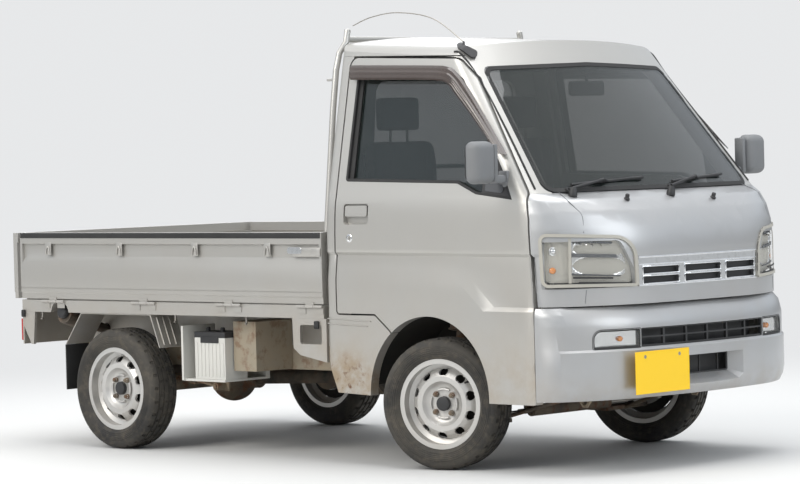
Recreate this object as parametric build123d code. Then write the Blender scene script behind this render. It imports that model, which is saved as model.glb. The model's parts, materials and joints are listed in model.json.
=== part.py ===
from build123d import *
from math import asin, atan2, cos, degrees, hypot, pi, radians, sin, sqrt, tan
import os

# Small cab-over pickup. Millimetres, +X to the front, +Y to its left, +Z up.
# The origin is on the ground under the middle of the truck.

# Overall
length = 3395
width = 1475
guard_top = 1780
wheelbase = 1900
rear_overhang = 652.5
nose = length / 2
tail = -length / 2
rear_axle_x = tail + rear_overhang
front_axle_x = rear_axle_x + wheelbase

# Clearances
seat_gap = 0.3
panel_gap = 7
gate_gap = 6

# Wheels
tyre_r = 263
tyre_w = 155
rim_r = 180
bead_r = 166
rim_w = 124
drop_r = 146
rim_wall = 5
track_front = 1305
track_rear = 1300
hub_bore_r = 19
vent_holes = 10
vent_r = 126
wheel_bolts = 4
bolt_circle_r = 50
brake_r = 100
rotor_w = 12

# Steering: the kingpin leans inwards, and the truck is parked with the wheels turned left
kingpin_lean = 10
kingpin_inset = 75
park_steer = 15
steer_arm = 100
strut_r = 24
rack_z = 205
rack_tube_r = 24
rack_r = 11
hand_wheel_r = 180
hand_wheel_tube = 13
column_r = 24
column_bore = 12.3

# Cab shell
cab_back_x = 286
cab_side = 735
cab_bottom = 277
cab_back_r = 35
wall = 45
back_wall = 30
roof_wall = 30
skin = 18
glass_t = 5
nose_reach = 1669
nose_crown = 4096
nose_corner = 200
nose_corner_x = 1358
corner_turn = 37.2
hood_z = 880
hood_r = 217.6
hood_turn = 77
cowl_side = 720
cowl_crown = 2283
cowl_corner = 80
cowl_corner_x = 1325
screen_slope = 0.794
screen_top = 1760
side_lean = 0.1916
crown_per_mm = 0.848
corner_per_mm = 0.039
corner_x_per_mm = 0.75
hood_steps = 4

# Roof
roof_z = 1746
roof_fall = 0.058
roof_flat = 535
roof_crown = 5600
drip_y = 608
drip_z = 1684

# Doors
door_hinge_x = 1415
door_hinge_y = 734
door_hinges = (420, 610)
door_hinge_r = 2.6
door_back_x = 348
door_low_z = 617
door_front_x = 1412
belt_z = 1092
arch_r = 322
arch_z = 290
liner_r = 327
liner_t = 8

# Fittings in the front of the cab
lamp_x = 1446
lamp_depth = 50
grille_w = 750
grille_low = 722
grille_high = 840
sail_x = 1150

# Door openings and pillars
jamb = 34
pillar_d = 55
pillar_lap = 32
jamb_in = wall + panel_gap
post_x = door_front_x + 9

# Cab floor
floor_z = 395
floor_t = 12
floor_y = cab_side - wall - panel_gap
seat_base_z = 652
riser_x = 1184
cowl_x = 1524
liner_in = 405
tower_r = 72
tower_top = 638

# Bed
bed_front = 268
bed_back = -1650
rail_top = 646
rail_bottom = 592
rail_face = 724
deck_z = 655
deck_t = 12
deck_step = 4
gate_top = 945
gate_t = 26
gate_end = 14
hinge_r = 6.5
gate_side = width / 2 - hinge_r
hinge_l = 150
hinge_z = 641
gate_hinges = (-1430, -830, -295, 190)
tail_hinges = (-520, 0, 520)
tail_out = -tail

# Frame rails
rail_low = 352
rail_high = 455
rail_w = 50
rear_rail_y = 400
front_rail_y = 345

rail_front = 1365
front_rail_low = 294
front_rail_high = 382.7
tow_eye_z = 262
tow_eye_r = 14
filler_x = -1393

# Springs and rear axle
spring_y = 460
spring_w = 50
spring_eye_front = (-650, 268)
spring_eye_rear = (-1480, 292)
axle_r = 32
hub_rear_z = tyre_r

# Bumper
bumper_top = 650
bumper_low = 290
bumper_crown = 2667
bumper_corner = 150
bumper_corner_x = 1428
bumper_wall = 10
lamp_hole = [(386, 490), (590, 490), (590, 560), (386, 560)]
lamp_hole_radii = [6, 6, 34, 6]
intake_points = [(-202, 320), (202, 320), (230, 344), (230, 442), (-230, 442), (-230, 344)]
intake_inner = [(-172, 362), (172, 362), (178, 368), (178, 438), (-178, 438), (-178, 368)]
intake_back = 1640
plate_y = -300
plate_bolts = 210
plate_bolt_z = 452
plate_bolt_r = 3.5

# Guard frame and antenna
antenna_r = 2.2
antenna_steps = 10
guard_r = 13


def block(x0, x1, y0, y1, z0, z1):
    return Pos((x0 + x1) / 2, (y0 + y1) / 2, (z0 + z1) / 2) * Box(x1 - x0, y1 - y0, z1 - z0)


def closed_line(points, radii):
    if isinstance(radii, (int, float)) and radii == 0:
        return Polyline(*points, close=True)
    return FilletPolyline(*points, radius=radii, close=True)


def side_prism(points, y0, y1, radii=0):
    face = make_face(closed_line(points, radii))
    return extrude(Plane.XZ.offset(-y1) * face, y1 - y0)


def front_prism(points, x0, x1, radii=0):
    face = make_face(closed_line(points, radii))
    return extrude(Plane.YZ.offset(x0) * face, x1 - x0)


def plan_prism(points, z0, z1, radii=0):
    face = make_face(closed_line(points, radii))
    return extrude(Plane.XY.offset(z0) * face, z1 - z0)


def rod(start, end, r, bore=0):
    start = Vector(*start)
    end = Vector(*end)
    plane = Plane(origin=start, z_dir=end - start)
    solid = Solid.make_cylinder(r, (end - start).length, plane)
    if bore:
        solid = solid - Solid.make_cylinder(bore, (end - start).length, plane)
    return solid


def cross_rod(x, z, r, y0, y1, bore=0):
    return rod((x, y0, z), (x, y1, z), r, bore)


def mirrored(shape):
    return mirror(shape, about=Plane.XZ)


def both(shape):
    return [shape, mirrored(shape)]


def save(name, *shapes):
    solids = []
    for shape in shapes:
        solids.extend(shape.solids() if hasattr(shape, "solids") else [s for part in shape for s in part.solids()])
    export_step(Compound(solids), "parts/" + name + ".step")


# The cab's outer form: flat sections joined by ruled faces, and cut by the roof
def nose_plan(reach, crown, corner, corner_x, side, back_x, back_r):
    turn = radians(corner_turn)
    nx, ny = cos(turn), sin(turn)
    centre_x = reach - crown
    px, py = corner_x + corner * nx, side - corner + corner * ny
    dx = px - centre_x
    blend = (crown ** 2 - dx ** 2 - py ** 2) / (2 * (crown - dx * nx - py * ny))
    bx, by = px - blend * nx, py - blend * ny
    join = atan2(by, bx - centre_x)
    ax, ay = centre_x + crown * cos(join), crown * sin(join)
    half_blend = (join + turn) / 2
    mx, my = bx + blend * cos(half_blend), by + blend * sin(half_blend)
    half_corner = (turn + pi / 2) / 2
    kx, ky = corner_x + corner * cos(half_corner), side - corner + corner * sin(half_corner)
    rx, ry = back_x + back_r * (1 - cos(pi / 4)), side - back_r * (1 - sin(pi / 4))
    edges = [ThreePointArc((ax, -ay), (reach, 0), (ax, ay)), Line((back_x, back_r - side), (back_x, side - back_r))]
    for s in (1, -1):
        edges.append(ThreePointArc((ax, s * ay), (mx, s * my), (px, s * py)))
        edges.append(ThreePointArc((px, s * py), (kx, s * ky), (corner_x, s * side)))
        edges.append(Line((corner_x, s * side), (back_x + back_r, s * side)))
        edges.append(ThreePointArc((back_x + back_r, s * side), (rx, s * ry), (back_x, s * (side - back_r))))
    return make_face(edges)


def plan_at(z, reach, crown, corner, corner_x, side, back_x, back_r):
    return Pos(0, 0, z) * nose_plan(reach, crown, corner, corner_x, side, back_x, back_r)


def cab_block(t, floor=cab_bottom):
    back_x = cab_back_x + t
    back_r = max(cab_back_r - t, 6)
    low = (nose_reach - t, nose_crown - t, nose_corner - t, nose_corner_x, cab_side - t, back_x, back_r)
    sections = [plan_at(floor, *low), plan_at(hood_z, *low)]
    cowl_reach = nose_reach - hood_r * (1 - cos(radians(hood_turn)))
    for step in range(1, hood_steps + 1):
        angle = radians(hood_turn) * step / hood_steps
        setback = hood_r * (1 - cos(angle))
        share = setback / (nose_reach - cowl_reach)
        inset = 0.5 * t if step == hood_steps else t * cos(angle)
        sections.append(plan_at(hood_z + (hood_r - t) * sin(angle), nose_reach - setback - inset,
                                nose_crown + share * (cowl_crown - nose_crown) - t,
                                nose_corner + share * (cowl_corner - nose_corner) - t,
                                nose_corner_x + share * (cowl_corner_x - nose_corner_x) - inset + t,
                                cab_side + share * (cowl_side - cab_side) - t, back_x, back_r))
    rise = screen_top - belt_z
    inset = t * hypot(1, screen_slope)
    sections.append(plan_at(screen_top, cowl_reach - rise * screen_slope - inset,
                            cowl_crown - crown_per_mm * rise - t, cowl_corner - corner_per_mm * rise - t,
                            cowl_corner_x - corner_x_per_mm * rise - inset + t,
                            cowl_side - side_lean * rise - t, back_x, back_r))
    return loft(sections, ruled=True) & roof_prism(t)


def roof_prism(t):
    edge = degrees(asin(roof_flat / roof_crown))
    shoulder_z = roof_z - roof_flat ** 2 / (2 * roof_crown)
    chord = hypot(drip_y - roof_flat, shoulder_z - drip_z)
    swing = atan2(shoulder_z - drip_z, drip_y - roof_flat) - radians(edge)
    shoulder_r = chord / (2 * sin(swing))
    low = 100
    wide = drip_y + 200
    edges = [ThreePointArc((-roof_flat, shoulder_z - t), (0, roof_z - t), (roof_flat, shoulder_z - t)),
             Line((-wide, low), (wide, low))]
    for s in (1, -1):
        edges.append(RadiusArc((s * roof_flat, shoulder_z - t), (s * drip_y, drip_z - t), s * shoulder_r))
        edges.append(Line((s * drip_y, drip_z - t), (s * wide, drip_z - t - (wide - drip_y))))
        edges.append(Line((s * wide, drip_z - t - (wide - drip_y)), (s * wide, low)))
    start = 150
    face = Plane.YZ.offset(start) * make_face(edges)
    lift = roof_fall * (cab_back_x - start)
    return Pos(0, 0, lift) * extrude(face, 1800, dir=(1, 0, -roof_fall))


outer = cab_block(0)
shells = {t: cab_block(t, cab_bottom - 60) for t in (skin, roof_wall, wall)}


def shell(t):
    return outer - shells[t]


def side_shell(t, start=0):
    face = Pos(0, -start, 0) * outer if start else outer
    return face - Pos(0, -t, 0) * outer


# Outlines in side view, shared by the doors and what frames them
door_outline = [(door_back_x + panel_gap, door_low_z), (568, door_low_z), (650, 553), (760, 400), (1000, cab_bottom),
                (door_front_x, cab_bottom), (door_front_x, 656), (1400, 862), (1392, 1000), (1373, 1094),
                (1036, 1548), (950, 1630), (door_back_x + panel_gap, 1655)]
door_radii = [12, 20, 0, 0, 0, 8, 0, 0, 0, 40, 0, 60, 40]
window_outline = [(396, 1152), (1014, 1137), (1118, 1094), (1312, 1071), (1246, 1190), (992, 1548), (920, 1594),
                  (400, 1614)]
window_radii = [14, 20, 20, 0, 0, 0, 40, 30]


def grown(points, radii, d):
    line = closed_line(points, radii)
    face = make_face(line)
    return offset(face, amount=d, kind=Kind.INTERSECTION)


def side_region(points, radii, d, y0, y1):
    face = grown(points, radii, d) if d else make_face(closed_line(points, radii))
    return extrude(Plane.XZ.offset(-y1) * face, y1 - y0)


door_space = side_region(door_outline, door_radii, panel_gap, 400, 800)
door_solid_region = side_region(door_outline, door_radii, 0, 400, 800)
door_room = side_shell(jamb_in) & door_space
arch_cut = cross_rod(front_axle_x, arch_z, arch_r, 300, 800)

# Windscreen opening, seen from the front
screen_points = [(-641, 1096), (641, 1096), (553, 1597), (0, 1612), (-553, 1597)]
screen_radii = [30, 30, 40, 0, 40]
screen_cut = front_prism(screen_points, 880, 1700, screen_radii)
glass_face = offset(make_face(closed_line(screen_points, screen_radii)), amount=-seat_gap, kind=Kind.INTERSECTION)
screen_fill = extrude(Plane.YZ.offset(880) * glass_face, 820)
room_face = offset(make_face(closed_line(screen_points, screen_radii)), amount=20, kind=Kind.INTERSECTION)
screen_room = extrude(Plane.YZ.offset(880) * room_face, 820)

# Roof: the skin down to the door tops and the windscreen header
roof_low = [(cab_back_x - 20, 1662), (door_back_x, 1662), (960, 1637 + panel_gap), (1000, 1600), (1180, 1560),
            (1180, 1800), (cab_back_x - 20, 1800)]
roof_region = side_prism(roof_low, -800, 800)


def make_roof():
    return (shell(roof_wall) & roof_region) - screen_cut


def make_windscreen():
    pane = outer - cab_block(glass_t)
    return pane & screen_fill & side_prism([(880, 1085), (1560, 1085), (1560, 1700), (880, 1700)], -800, 800)


# Front: pillars beside the windscreen, the cowl under it and the wall behind the front panel
def make_cab_front():
    low = belt_z + seat_gap
    zone = side_prism([(1373 - pillar_d, low), (1036 - pillar_d, 1548), (880, 1640), (1200, 1640), (1600, low)], 400, 800)
    strip = front_prism([(641 - pillar_lap, low), (900, low), (900, 1700), (534 - pillar_lap, 1700)], 800, 1700)
    pillar = (outer & zone & strip) - roof_region - (screen_cut - cab_block(glass_t + 1)) - door_room
    frame = both(pillar)
    inside = shells[wall]
    cowl = inside & block(cowl_x, 1560, -640, 640, 1000, 1060)
    plate = inside & block(1545, 1560, -470, 470, floor_z, 1020)
    return frame + [cowl + plate] + both(make_hinge_post())


# Post at the front of the left door opening, with the fixed halves of the door's hinges
def make_hinge_post():
    post = block(post_x, post_x + 23, 640, 712, floor_z, 1050) & shells[roof_wall]
    post += block(post_x + 2, post_x + 10, 690, cab_side - bumper_wall - seat_gap, 430, 470)
    for z in door_hinges:
        post += block(door_hinge_x - 1.5, post_x + 1, 680, 712, z - 20, z + 20)
        for s in (1, -1):
            z0, z1 = sorted((z + s * 7, z + s * 20))
            post += block(door_hinge_x - 1.5, door_hinge_x + 1.5, 700, door_hinge_y, z0, z1)
            post += rod((door_hinge_x, door_hinge_y, z0), (door_hinge_x, door_hinge_y, z1), door_hinge_r)
        post += rod((door_hinge_x, door_hinge_y, z - 10), (door_hinge_x, door_hinge_y, z + 10), 1.3)
    return post


def both_cut(shape):
    return shape + mirrored(shape)


# Front panel between the cowl, the doors and the bumper, cut for the lamps and the grille
lamp_points = [(385, 724), (800, 724), (800, 905), (452, 905), (396, 800)]
lamp_radii = [16, 0, 0, 30, 60]


def lamp_region(d):
    face = offset(make_face(closed_line(lamp_points, lamp_radii)), amount=d, kind=Kind.INTERSECTION)
    return extrude(Plane.YZ.offset(lamp_x - d) * face, 300)


def make_front_panel():
    space = side_prism([(door_front_x + panel_gap, bumper_top + 5), (door_front_x + panel_gap, 656),
                        (1400 + panel_gap, 862), (1392 + panel_gap, 1000), (1373 + panel_gap + 2, belt_z),
                        (1700, belt_z), (1700, bumper_top + 5)], -800, 800)
    panel = shell(skin) & space
    panel = panel - both_cut(lamp_region(seat_gap))
    return panel - block(1500, 1700, -grille_w / 2, grille_w / 2, grille_low, grille_high)


def make_headlamps():
    lamp = (outer - cab_block(lamp_depth)) & lamp_region(0)
    return both(lamp)


def make_grille():
    body = (outer - shells[skin]) & block(1500, 1700, seat_gap - grille_w / 2, grille_w / 2 - seat_gap, grille_low + seat_gap, grille_high - seat_gap)
    columns = ((-350, -148), (-113, 113), (148, 350))
    rows = ((731, 762), (769, 799))
    for y0, y1 in columns:
        for z0, z1 in rows:
            body = body - block(1500, 1700, y0, y1, z0, z1)
    return body


# Sides of the cab: rear pillars and the panels below the doors
side_low = [(cab_back_x - 1, 1661), (cab_back_x - 1, 450), (308, 397), (350, 294), (600, 285), (700, 560),
            (700, 700), (door_back_x + 20, 700), (door_back_x + 20, 1661)]


def make_cab_sides():
    space = side_prism(side_low, 400, 800)
    panel = (side_shell(wall) & space) - door_space - arch_cut
    panel = panel & block(cab_back_x, 700, 400, 800, 270, 1661)
    strip = side_shell(jamb_in + 22, jamb_in) & side_prism([(cab_back_x + back_wall + 1, 560), (door_back_x + jamb, 560),
                                (door_back_x + jamb, 1661), (cab_back_x + back_wall + 1, 1661)], 400, 800)
    web = side_shell(jamb_in + 22) & block(cab_back_x + back_wall + 1, door_back_x, 400, 800, 560, 1661)
    pillar_back = block(cab_back_x - 5, cab_back_x + back_wall + seat_gap, 0, 661 + seat_gap, 200, 1700)
    return both(panel + strip + web - pillar_back)


window_back = [(-470, 1130), (470, 1130), (430, 1560), (-430, 1560)]


def make_cab_back():
    plate = (outer & block(cab_back_x, cab_back_x + back_wall, -800, 800, rail_high + 15, 1661.5)) - block(0, 600, 661, 800, 0, 1700) \
        - block(0, 600, -800, -661, 0, 1700)
    plate = plate - front_prism(window_back, 0, 600, 60)
    return plate


def make_rear_window():
    face = offset(make_face(closed_line(window_back, 60)), amount=-seat_gap, kind=Kind.INTERSECTION)
    return extrude(Plane.YZ.offset(cab_back_x + 8) * face, glass_t)


# Doors, modelled on the left side
def make_door():
    panel = (side_shell(wall) & door_solid_region) - arch_cut
    panel = panel - side_prism(window_outline, 400, 800, window_radii)
    panel -= screen_room
    pocket = side_prism([(419, 978), (557, 978), (557, 1061), (419, 1061)], cab_side - 26, 800, 14)
    panel = panel - pocket
    flap = side_prism([(427, 1010), (549, 1010), (549, 1054), (427, 1054)], cab_side - 26, cab_side - 4, 8)
    panel += flap & outer
    for z in door_hinges:
        panel += block(door_front_x - 6, door_hinge_x, door_hinge_y - 12, door_hinge_y + 1, z - 6, z + 6)
        panel += rod((door_hinge_x, door_hinge_y, z - 6), (door_hinge_x, door_hinge_y, z + 6), door_hinge_r)
        panel -= rod((door_hinge_x, door_hinge_y, z - 7), (door_hinge_x, door_hinge_y, z + 7), 1.6)
    return panel


def make_door_glass():
    pane = side_shell(24, 20)
    face = make_face(closed_line(window_outline, window_radii))
    face = offset(face, amount=-seat_gap, kind=Kind.INTERSECTION)
    fill = extrude(Plane.XZ.offset(-800) * face, 400)
    return pane & fill & block(300, sail_x - 1, 400, 800, 1000, 1700)


# A door mirror on the black base that fills the window's front corner
def make_mirror():
    face = make_face(closed_line(window_outline, window_radii))
    face = offset(face, amount=-seat_gap, kind=Kind.INTERSECTION)
    fill = extrude(Plane.XZ.offset(-800) * face, 400)
    base = side_shell(30, 3) & fill & block(sail_x, 1400, 400, 800, 1000, 1250)
    arm = block(1222, 1257, 690, 800, 1130, 1160)
    housing = plan_prism([(1235, 786), (1298, 800), (1312, 850), (1300, 905), (1240, 915), (1228, 850)], 1130, 1306, 18)
    return base + (arm - Pos(0, -20, 0) * outer) + housing


# Kingpin axis on the left side, leaning inwards towards the top
kingpin_y = track_front / 2 - kingpin_inset
lean = radians(kingpin_lean)
hub_z = tyre_r + 0.433
kingpin_up = Vector(0, -sin(lean), cos(lean))


def kingpin(z):
    return Vector(front_axle_x, kingpin_y - (z - hub_z) * tan(lean), z)


def parked(shape, side):
    origin = kingpin(hub_z)
    up = kingpin_up
    if side < 0:
        origin = Vector(origin.X, -origin.Y, origin.Z)
        up = Vector(up.X, -up.Y, up.Z)
    return shape.rotate(Axis(origin, up), park_steer)


# Cab floor: footwell, seat base over the engine, wheel houses and strut towers


def make_cab_floor():
    half_floor = block(riser_x, 1545, 0, floor_y, floor_z - floor_t, floor_z)
    half_floor += block(riser_x, riser_x + floor_t, 0, floor_y, floor_z, seat_base_z)
    half_floor += block(cab_back_x + back_wall + 1, riser_x, 0, floor_y, seat_base_z - floor_t, seat_base_z)
    half_floor += block(riser_x, door_front_x - 10, floor_y - 60, floor_y, bumper_low + 6, floor_z - floor_t)
    half_floor += block(cab_back_x + wall, riser_x, floor_y - 8, floor_y, 330, seat_base_z - floor_t)
    liner = cross_rod(front_axle_x, arch_z, liner_r + liner_t, liner_in, floor_y)
    low_cut = block(0, 1600, 0, 800, 0, 330)
    half_floor += liner - low_cut
    hollow = cross_rod(front_axle_x, arch_z, liner_r, liner_in + liner_t, 800)
    half_floor -= hollow
    tower = rod(kingpin(590), kingpin(tower_top), tower_r)
    half_floor += tower - hollow
    half_floor -= rod(kingpin(560), kingpin(tower_top - 8), tower_r - 7)
    half_floor = half_floor & (Pos(0, -jamb_in, 0) * outer + block(300, 1600, 0, floor_y + 1, 200, 500))
    half_floor -= block(1300, 1700, floor_y - 9, 800, 200, 500)
    half_floor -= block(cab_back_x, door_back_x + jamb + seat_gap, 661 - seat_gap, 800, 500, 800)
    ahead = block(1400, 1700, 0, 800, 200, 1200)
    half_floor = (half_floor - ahead) + (half_floor & ahead & shells[wall])
    floor = half_floor + mirrored(half_floor)
    return floor - rod(column_at(520), column_at(760), 26)


# Steering column, on the right of the cab
wheel_centre = Vector(1120, -350, 985)
column_dir = Vector(0.5, 0, -sqrt(0.75))


def column_at(s):
    return wheel_centre + column_dir * s


def make_steering_column():
    tube = rod(column_at(70), column_at(560), column_r, column_bore)
    lower = rod(column_at(548), column_at(715), 13)
    joint_at = column_at(715)
    pinion = Vector(front_axle_x + steer_arm, -150, rack_z + 40)
    shaft = rod(joint_at, pinion, 10)
    knob = rod(joint_at - column_dir * 20, joint_at + column_dir * 14, 17)
    hanger = block(1362, 1402, wheel_centre.Y - 30, wheel_centre.Y + 30, 540, 760 - seat_gap)
    return (tube + lower + knob + shaft + hanger) - pinion_space() - rod(column_at(60), column_at(400), column_bore)


def pinion_space():
    return cross_rod(front_axle_x + steer_arm, rack_z, rack_tube_r + seat_gap, -260, 260)


def make_steering_wheel():
    plane = Plane(origin=wheel_centre, z_dir=column_dir)
    rim = plane * Torus(hand_wheel_r, hand_wheel_tube)
    hub = rod(column_at(-18), column_at(40), 62)
    stem = rod(column_at(30), column_at(110), column_bore - seat_gap)
    wheel = rim + hub + stem
    for angle in (0, 130, 230):
        across = Vector(cos(radians(angle)) * column_dir.Z * -1, sin(radians(angle)), cos(radians(angle)) * column_dir.X)
        wheel += rod(wheel_centre + column_dir * 6, wheel_centre + across * hand_wheel_r, 9)
    return wheel


# Wheels: profiles are (radius, offset from the wheel's mid-plane, outer side positive)
disc_profile = [(drop_r - 2, 2), (124, 26), (108, 38), (94, 36), (82, 22), (70, 16), (24, 16), (24, 24), (68, 24),
                (78, 30), (90, 44), (110, 46), (128, 34), (drop_r - 2, 12)]
rim_edge = rim_w / 2


def turned(profile):
    face = make_face(Polyline(*[(y, r) for r, y in profile], close=True))
    plane = Plane(origin=(0, 0, 0), x_dir=(0, 1, 0), z_dir=(1, 0, 0))
    return revolve(plane * face, Axis((0, 0, 0), (0, 1, 0)))


def make_wheel(bore):
    t = rim_wall
    barrel = [(rim_r, -rim_edge), (rim_r, -rim_edge + t), (bead_r, -rim_edge + t + 3), (bead_r, -26),
              (drop_r, -16), (drop_r, 16), (bead_r, 26), (bead_r, rim_edge - t - 3), (rim_r, rim_edge - t),
              (rim_r, rim_edge), (bead_r - t, rim_edge), (bead_r - t, 24), (drop_r - t, 14), (drop_r - t, -14),
              (bead_r - t, -24), (bead_r - t, -rim_edge)]
    rim = turned(barrel) + turned(disc_profile)
    hole = Cylinder(13, 40, rotation=(90, 0, 0))
    for index in range(vent_holes):
        angle = 360 / vent_holes * (index + 0.5)
        slot = Pos(vent_r, 30, 0) * (Pos(0, 0, 7) * hole + Pos(0, 0, -7) * hole)
        rim -= Rot(0, angle, 0) * slot
    hub = rod((0, -38, 0), (0, 16.5, 0), 62, bore)
    rotor = rod((0, -38, 0), (0, -38 + rotor_w, 0), brake_r, bore)
    cap = rod((0, 16.5, 0), (0, 40, 0), 27)
    rim += hub + rotor + cap
    for index in range(wheel_bolts):
        angle = radians(360 / wheel_bolts * (index + 0.5))
        x, z = bolt_circle_r * cos(angle), bolt_circle_r * sin(angle)
        rim += rod((x, 20, z), (x, 36, z), 9)
    wall_r = bead_r + seat_gap
    lip = rim_r + seat_gap
    tyre = turned([(wall_r, -rim_edge + t + 3.4), (lip, -rim_edge + t + 0.4), (lip, -rim_edge), (rim_r + 7, -rim_edge - 6),
                   (215, -tyre_w / 2), (240, -tyre_w / 2 + 3),
                   (256, -tyre_w / 2 + 14), (tyre_r - 1, -tyre_w / 2 + 32), (tyre_r, 0), (tyre_r - 1, tyre_w / 2 - 32),
                   (256, tyre_w / 2 - 14), (240, tyre_w / 2 - 3), (215, tyre_w / 2), (rim_r + 7, rim_edge + 6),
                   (lip, rim_edge), (lip, rim_edge - t - 0.4), (wall_r, rim_edge - t - 3.4), (wall_r, rim_edge - 30), (208, 40), (244, 30), (244, -30), (208, -40),
                   (wall_r, -rim_edge + 30)])
    return rim, tyre


# Knuckle on the left side: upright, stub axle, steering arm and strut tube
def make_knuckle():
    mid = track_front / 2
    upright = block(front_axle_x - 26, front_axle_x + 26, 562, 592, 205, 350)
    boss = rod(kingpin(184), kingpin(225), 22)
    stub = rod((front_axle_x, 590, hub_z), (front_axle_x, mid - 4, hub_z), hub_bore_r - seat_gap)
    collar = rod((front_axle_x, 590, hub_z), (front_axle_x, mid - 43, hub_z), 34)
    tube = rod(kingpin(325), kingpin(548), strut_r)
    seat = rod(kingpin(544), kingpin(550), 58)
    arm = block(front_axle_x, front_axle_x + steer_arm, 540, 566, rack_z + 22, rack_z + 34)
    eye = rod((front_axle_x + steer_arm, 548, rack_z + 22), (front_axle_x + steer_arm, 548, rack_z + 38), 15)
    piston = rod(kingpin(546), kingpin(624), 9)
    return upright + boss + stub + collar + tube + seat + arm + eye + piston


def make_front_suspension():
    pieces = []
    beam = block(front_axle_x - 55, front_axle_x + 45, -front_rail_y - 20, front_rail_y + 20, 268, rail_low)
    rack_tube = rod((front_axle_x + steer_arm, -240, rack_z), (front_axle_x + steer_arm, 240, rack_z), rack_tube_r)
    clamps = [block(front_axle_x + 30, front_axle_x + steer_arm - 15, y - 15, y + 15, rack_z - 14, 300)
              for y in (-190, 190)]
    beam = beam + rack_tube
    for clamp in clamps:
        beam += clamp
    bore = cross_rod(front_axle_x + steer_arm, rack_z, rack_r + seat_gap, -250, 250)
    beam -= bore
    for s in (1, -1):
        arm = plan_prism([(front_axle_x - 60, 300), (front_axle_x + 50, 300), (front_axle_x + 26, 560),
                          (front_axle_x + 14, 606), (front_axle_x - 14, 606), (front_axle_x - 26, 560)], 160, 176)
        arm += block(front_axle_x - 50, front_axle_x + 40, 300, 330, 160, 270)
        arm += rod(kingpin(158), kingpin(183.4), 10)
        arm += rod((front_axle_x + 25, 440, 164), (1280, 345, 280), 8)
        arm += block(1256, 1299, 325, 365, 262, front_rail_low - seat_gap)
        beam += arm if s > 0 else mirrored(arm)
        spring = rod(kingpin(550.5), kingpin(614), 52, 38) + rod(kingpin(612), kingpin(tower_top - 9), 60, 12)
        pieces.append(spring if s > 0 else mirrored(spring))
    return [beam] + pieces


def make_rack_bar():
    shift = steer_arm * cos(lean) * sin(radians(park_steer))
    x = front_axle_x + steer_arm
    bar = rod((x, -540 + shift, rack_z), (x, 540 + shift, rack_z), 7)
    bar += rod((x, -340 + shift, rack_z), (x, 340 + shift, rack_z), rack_r)
    for y in (-548, 548):
        bar += rod((x, y + shift, rack_z - 8), (x, y + shift, rack_z + 8), 14)
    return bar


# Chassis
def make_chassis():
    rails = []
    w = rail_w / 2
    path = [(-1640, rear_rail_y - w), (140, rear_rail_y - w), (320, front_rail_y - w), (1150, front_rail_y - w),
            (1150, front_rail_y + w), (330, front_rail_y + w), (150, rear_rail_y + w), (-1640, rear_rail_y + w)]
    rail = plan_prism(path, rail_low, rail_high)
    rail += side_prism([(1060, rail_low), (1120, front_rail_low), (rail_front, front_rail_low), (rail_front, front_rail_high),
                        (1170, front_rail_high), (1149, rail_high), (1060, rail_high)], front_rail_y - w, front_rail_y + w)
    eye = side_prism([(rail_front - 60, front_rail_low + 5), (rail_front, front_rail_low + 5), (rail_front, tow_eye_z),
                      (rail_front - 20, tow_eye_z - 24), (rail_front - 40, tow_eye_z - 24), (rail_front - 60, tow_eye_z)],
                     front_rail_y - 6, front_rail_y + 6)
    rail += eye - cross_rod(rail_front - 30, tow_eye_z, tow_eye_r, 300, 400)
    members = both(rail)
    rear_in, front_in = rear_rail_y - w - seat_gap, front_rail_y - w - seat_gap
    for x in (-1625, -1310, -720, -110):
        members.append(block(x - 22, x + 22, -rear_in, rear_in, rail_low + 20, rail_high - 15))
    members.append(block(1068, 1112, -front_in, front_in, rail_low + 20, rail_high - 15))
    members.append(block(rail_front - 37, rail_front, -front_in, front_in, front_rail_low, front_rail_low + 23))
    rail_out = -rear_rail_y - w - seat_gap
    outrigger = block(-365, -228, -640, rail_out, 355, 566) - block(-362, -231, -637, rail_out + 1, 300, 563)
    return members + [outrigger]


def leaf(points_low, points_high):
    low = ThreePointArc(*points_low)
    high = ThreePointArc(*points_high)
    ends = [Line(low @ 0, high @ 0), Line(low @ 1, high @ 1)]
    face = make_face([low, high] + ends)
    return extrude(Plane.XZ.offset(-spring_y - spring_w / 2) * face, spring_w)


def make_leaf_springs():
    fx, fz = spring_eye_front
    rx, rz = spring_eye_rear
    top = hub_rear_z + axle_r + 26
    spring = leaf([(fx, fz - 4), (rear_axle_x, top - 8), (rx, rz - 4)], [(fx, fz + 4), (rear_axle_x, top), (rx, rz + 4)])
    spring += leaf([(fx - 130, fz + 6), (rear_axle_x, top - 16), (rx + 130, rz + 2)],
                   [(fx - 130, fz + 14), (rear_axle_x, top - 7), (rx + 130, rz + 10)])
    spring += leaf([(fx - 240, fz + 12), (rear_axle_x, top - 24), (rx + 250, rz + 4)],
                   [(fx - 240, fz + 20), (rear_axle_x, top - 15), (rx + 250, rz + 12)])
    y0, y1 = spring_y - spring_w / 2, spring_y + spring_w / 2
    for x, z in (spring_eye_front, spring_eye_rear):
        spring += cross_rod(x, z, 17, y0, y1)
    saddle = block(rear_axle_x - 50, rear_axle_x + 50, y0 - 6, y1 + 6, hub_rear_z + axle_r - 6, top + 4)
    spring += saddle
    inner = rear_rail_y + rail_w / 2
    front_hanger = block(fx - 30, fx + 30, inner + seat_gap, y0 - 1, fz - 20, rail_low + 60)
    front_hanger += cross_rod(fx, fz, 9, inner + 1, y1 + 6)
    rear_hanger = block(rx - 16, rx + 16, inner + seat_gap, y0 - 1, rz - 20, rail_low + 60)
    rear_hanger += cross_rod(rx, rz, 9, inner + 1, y1 + 6)
    return both(spring + front_hanger + rear_hanger)


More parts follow.
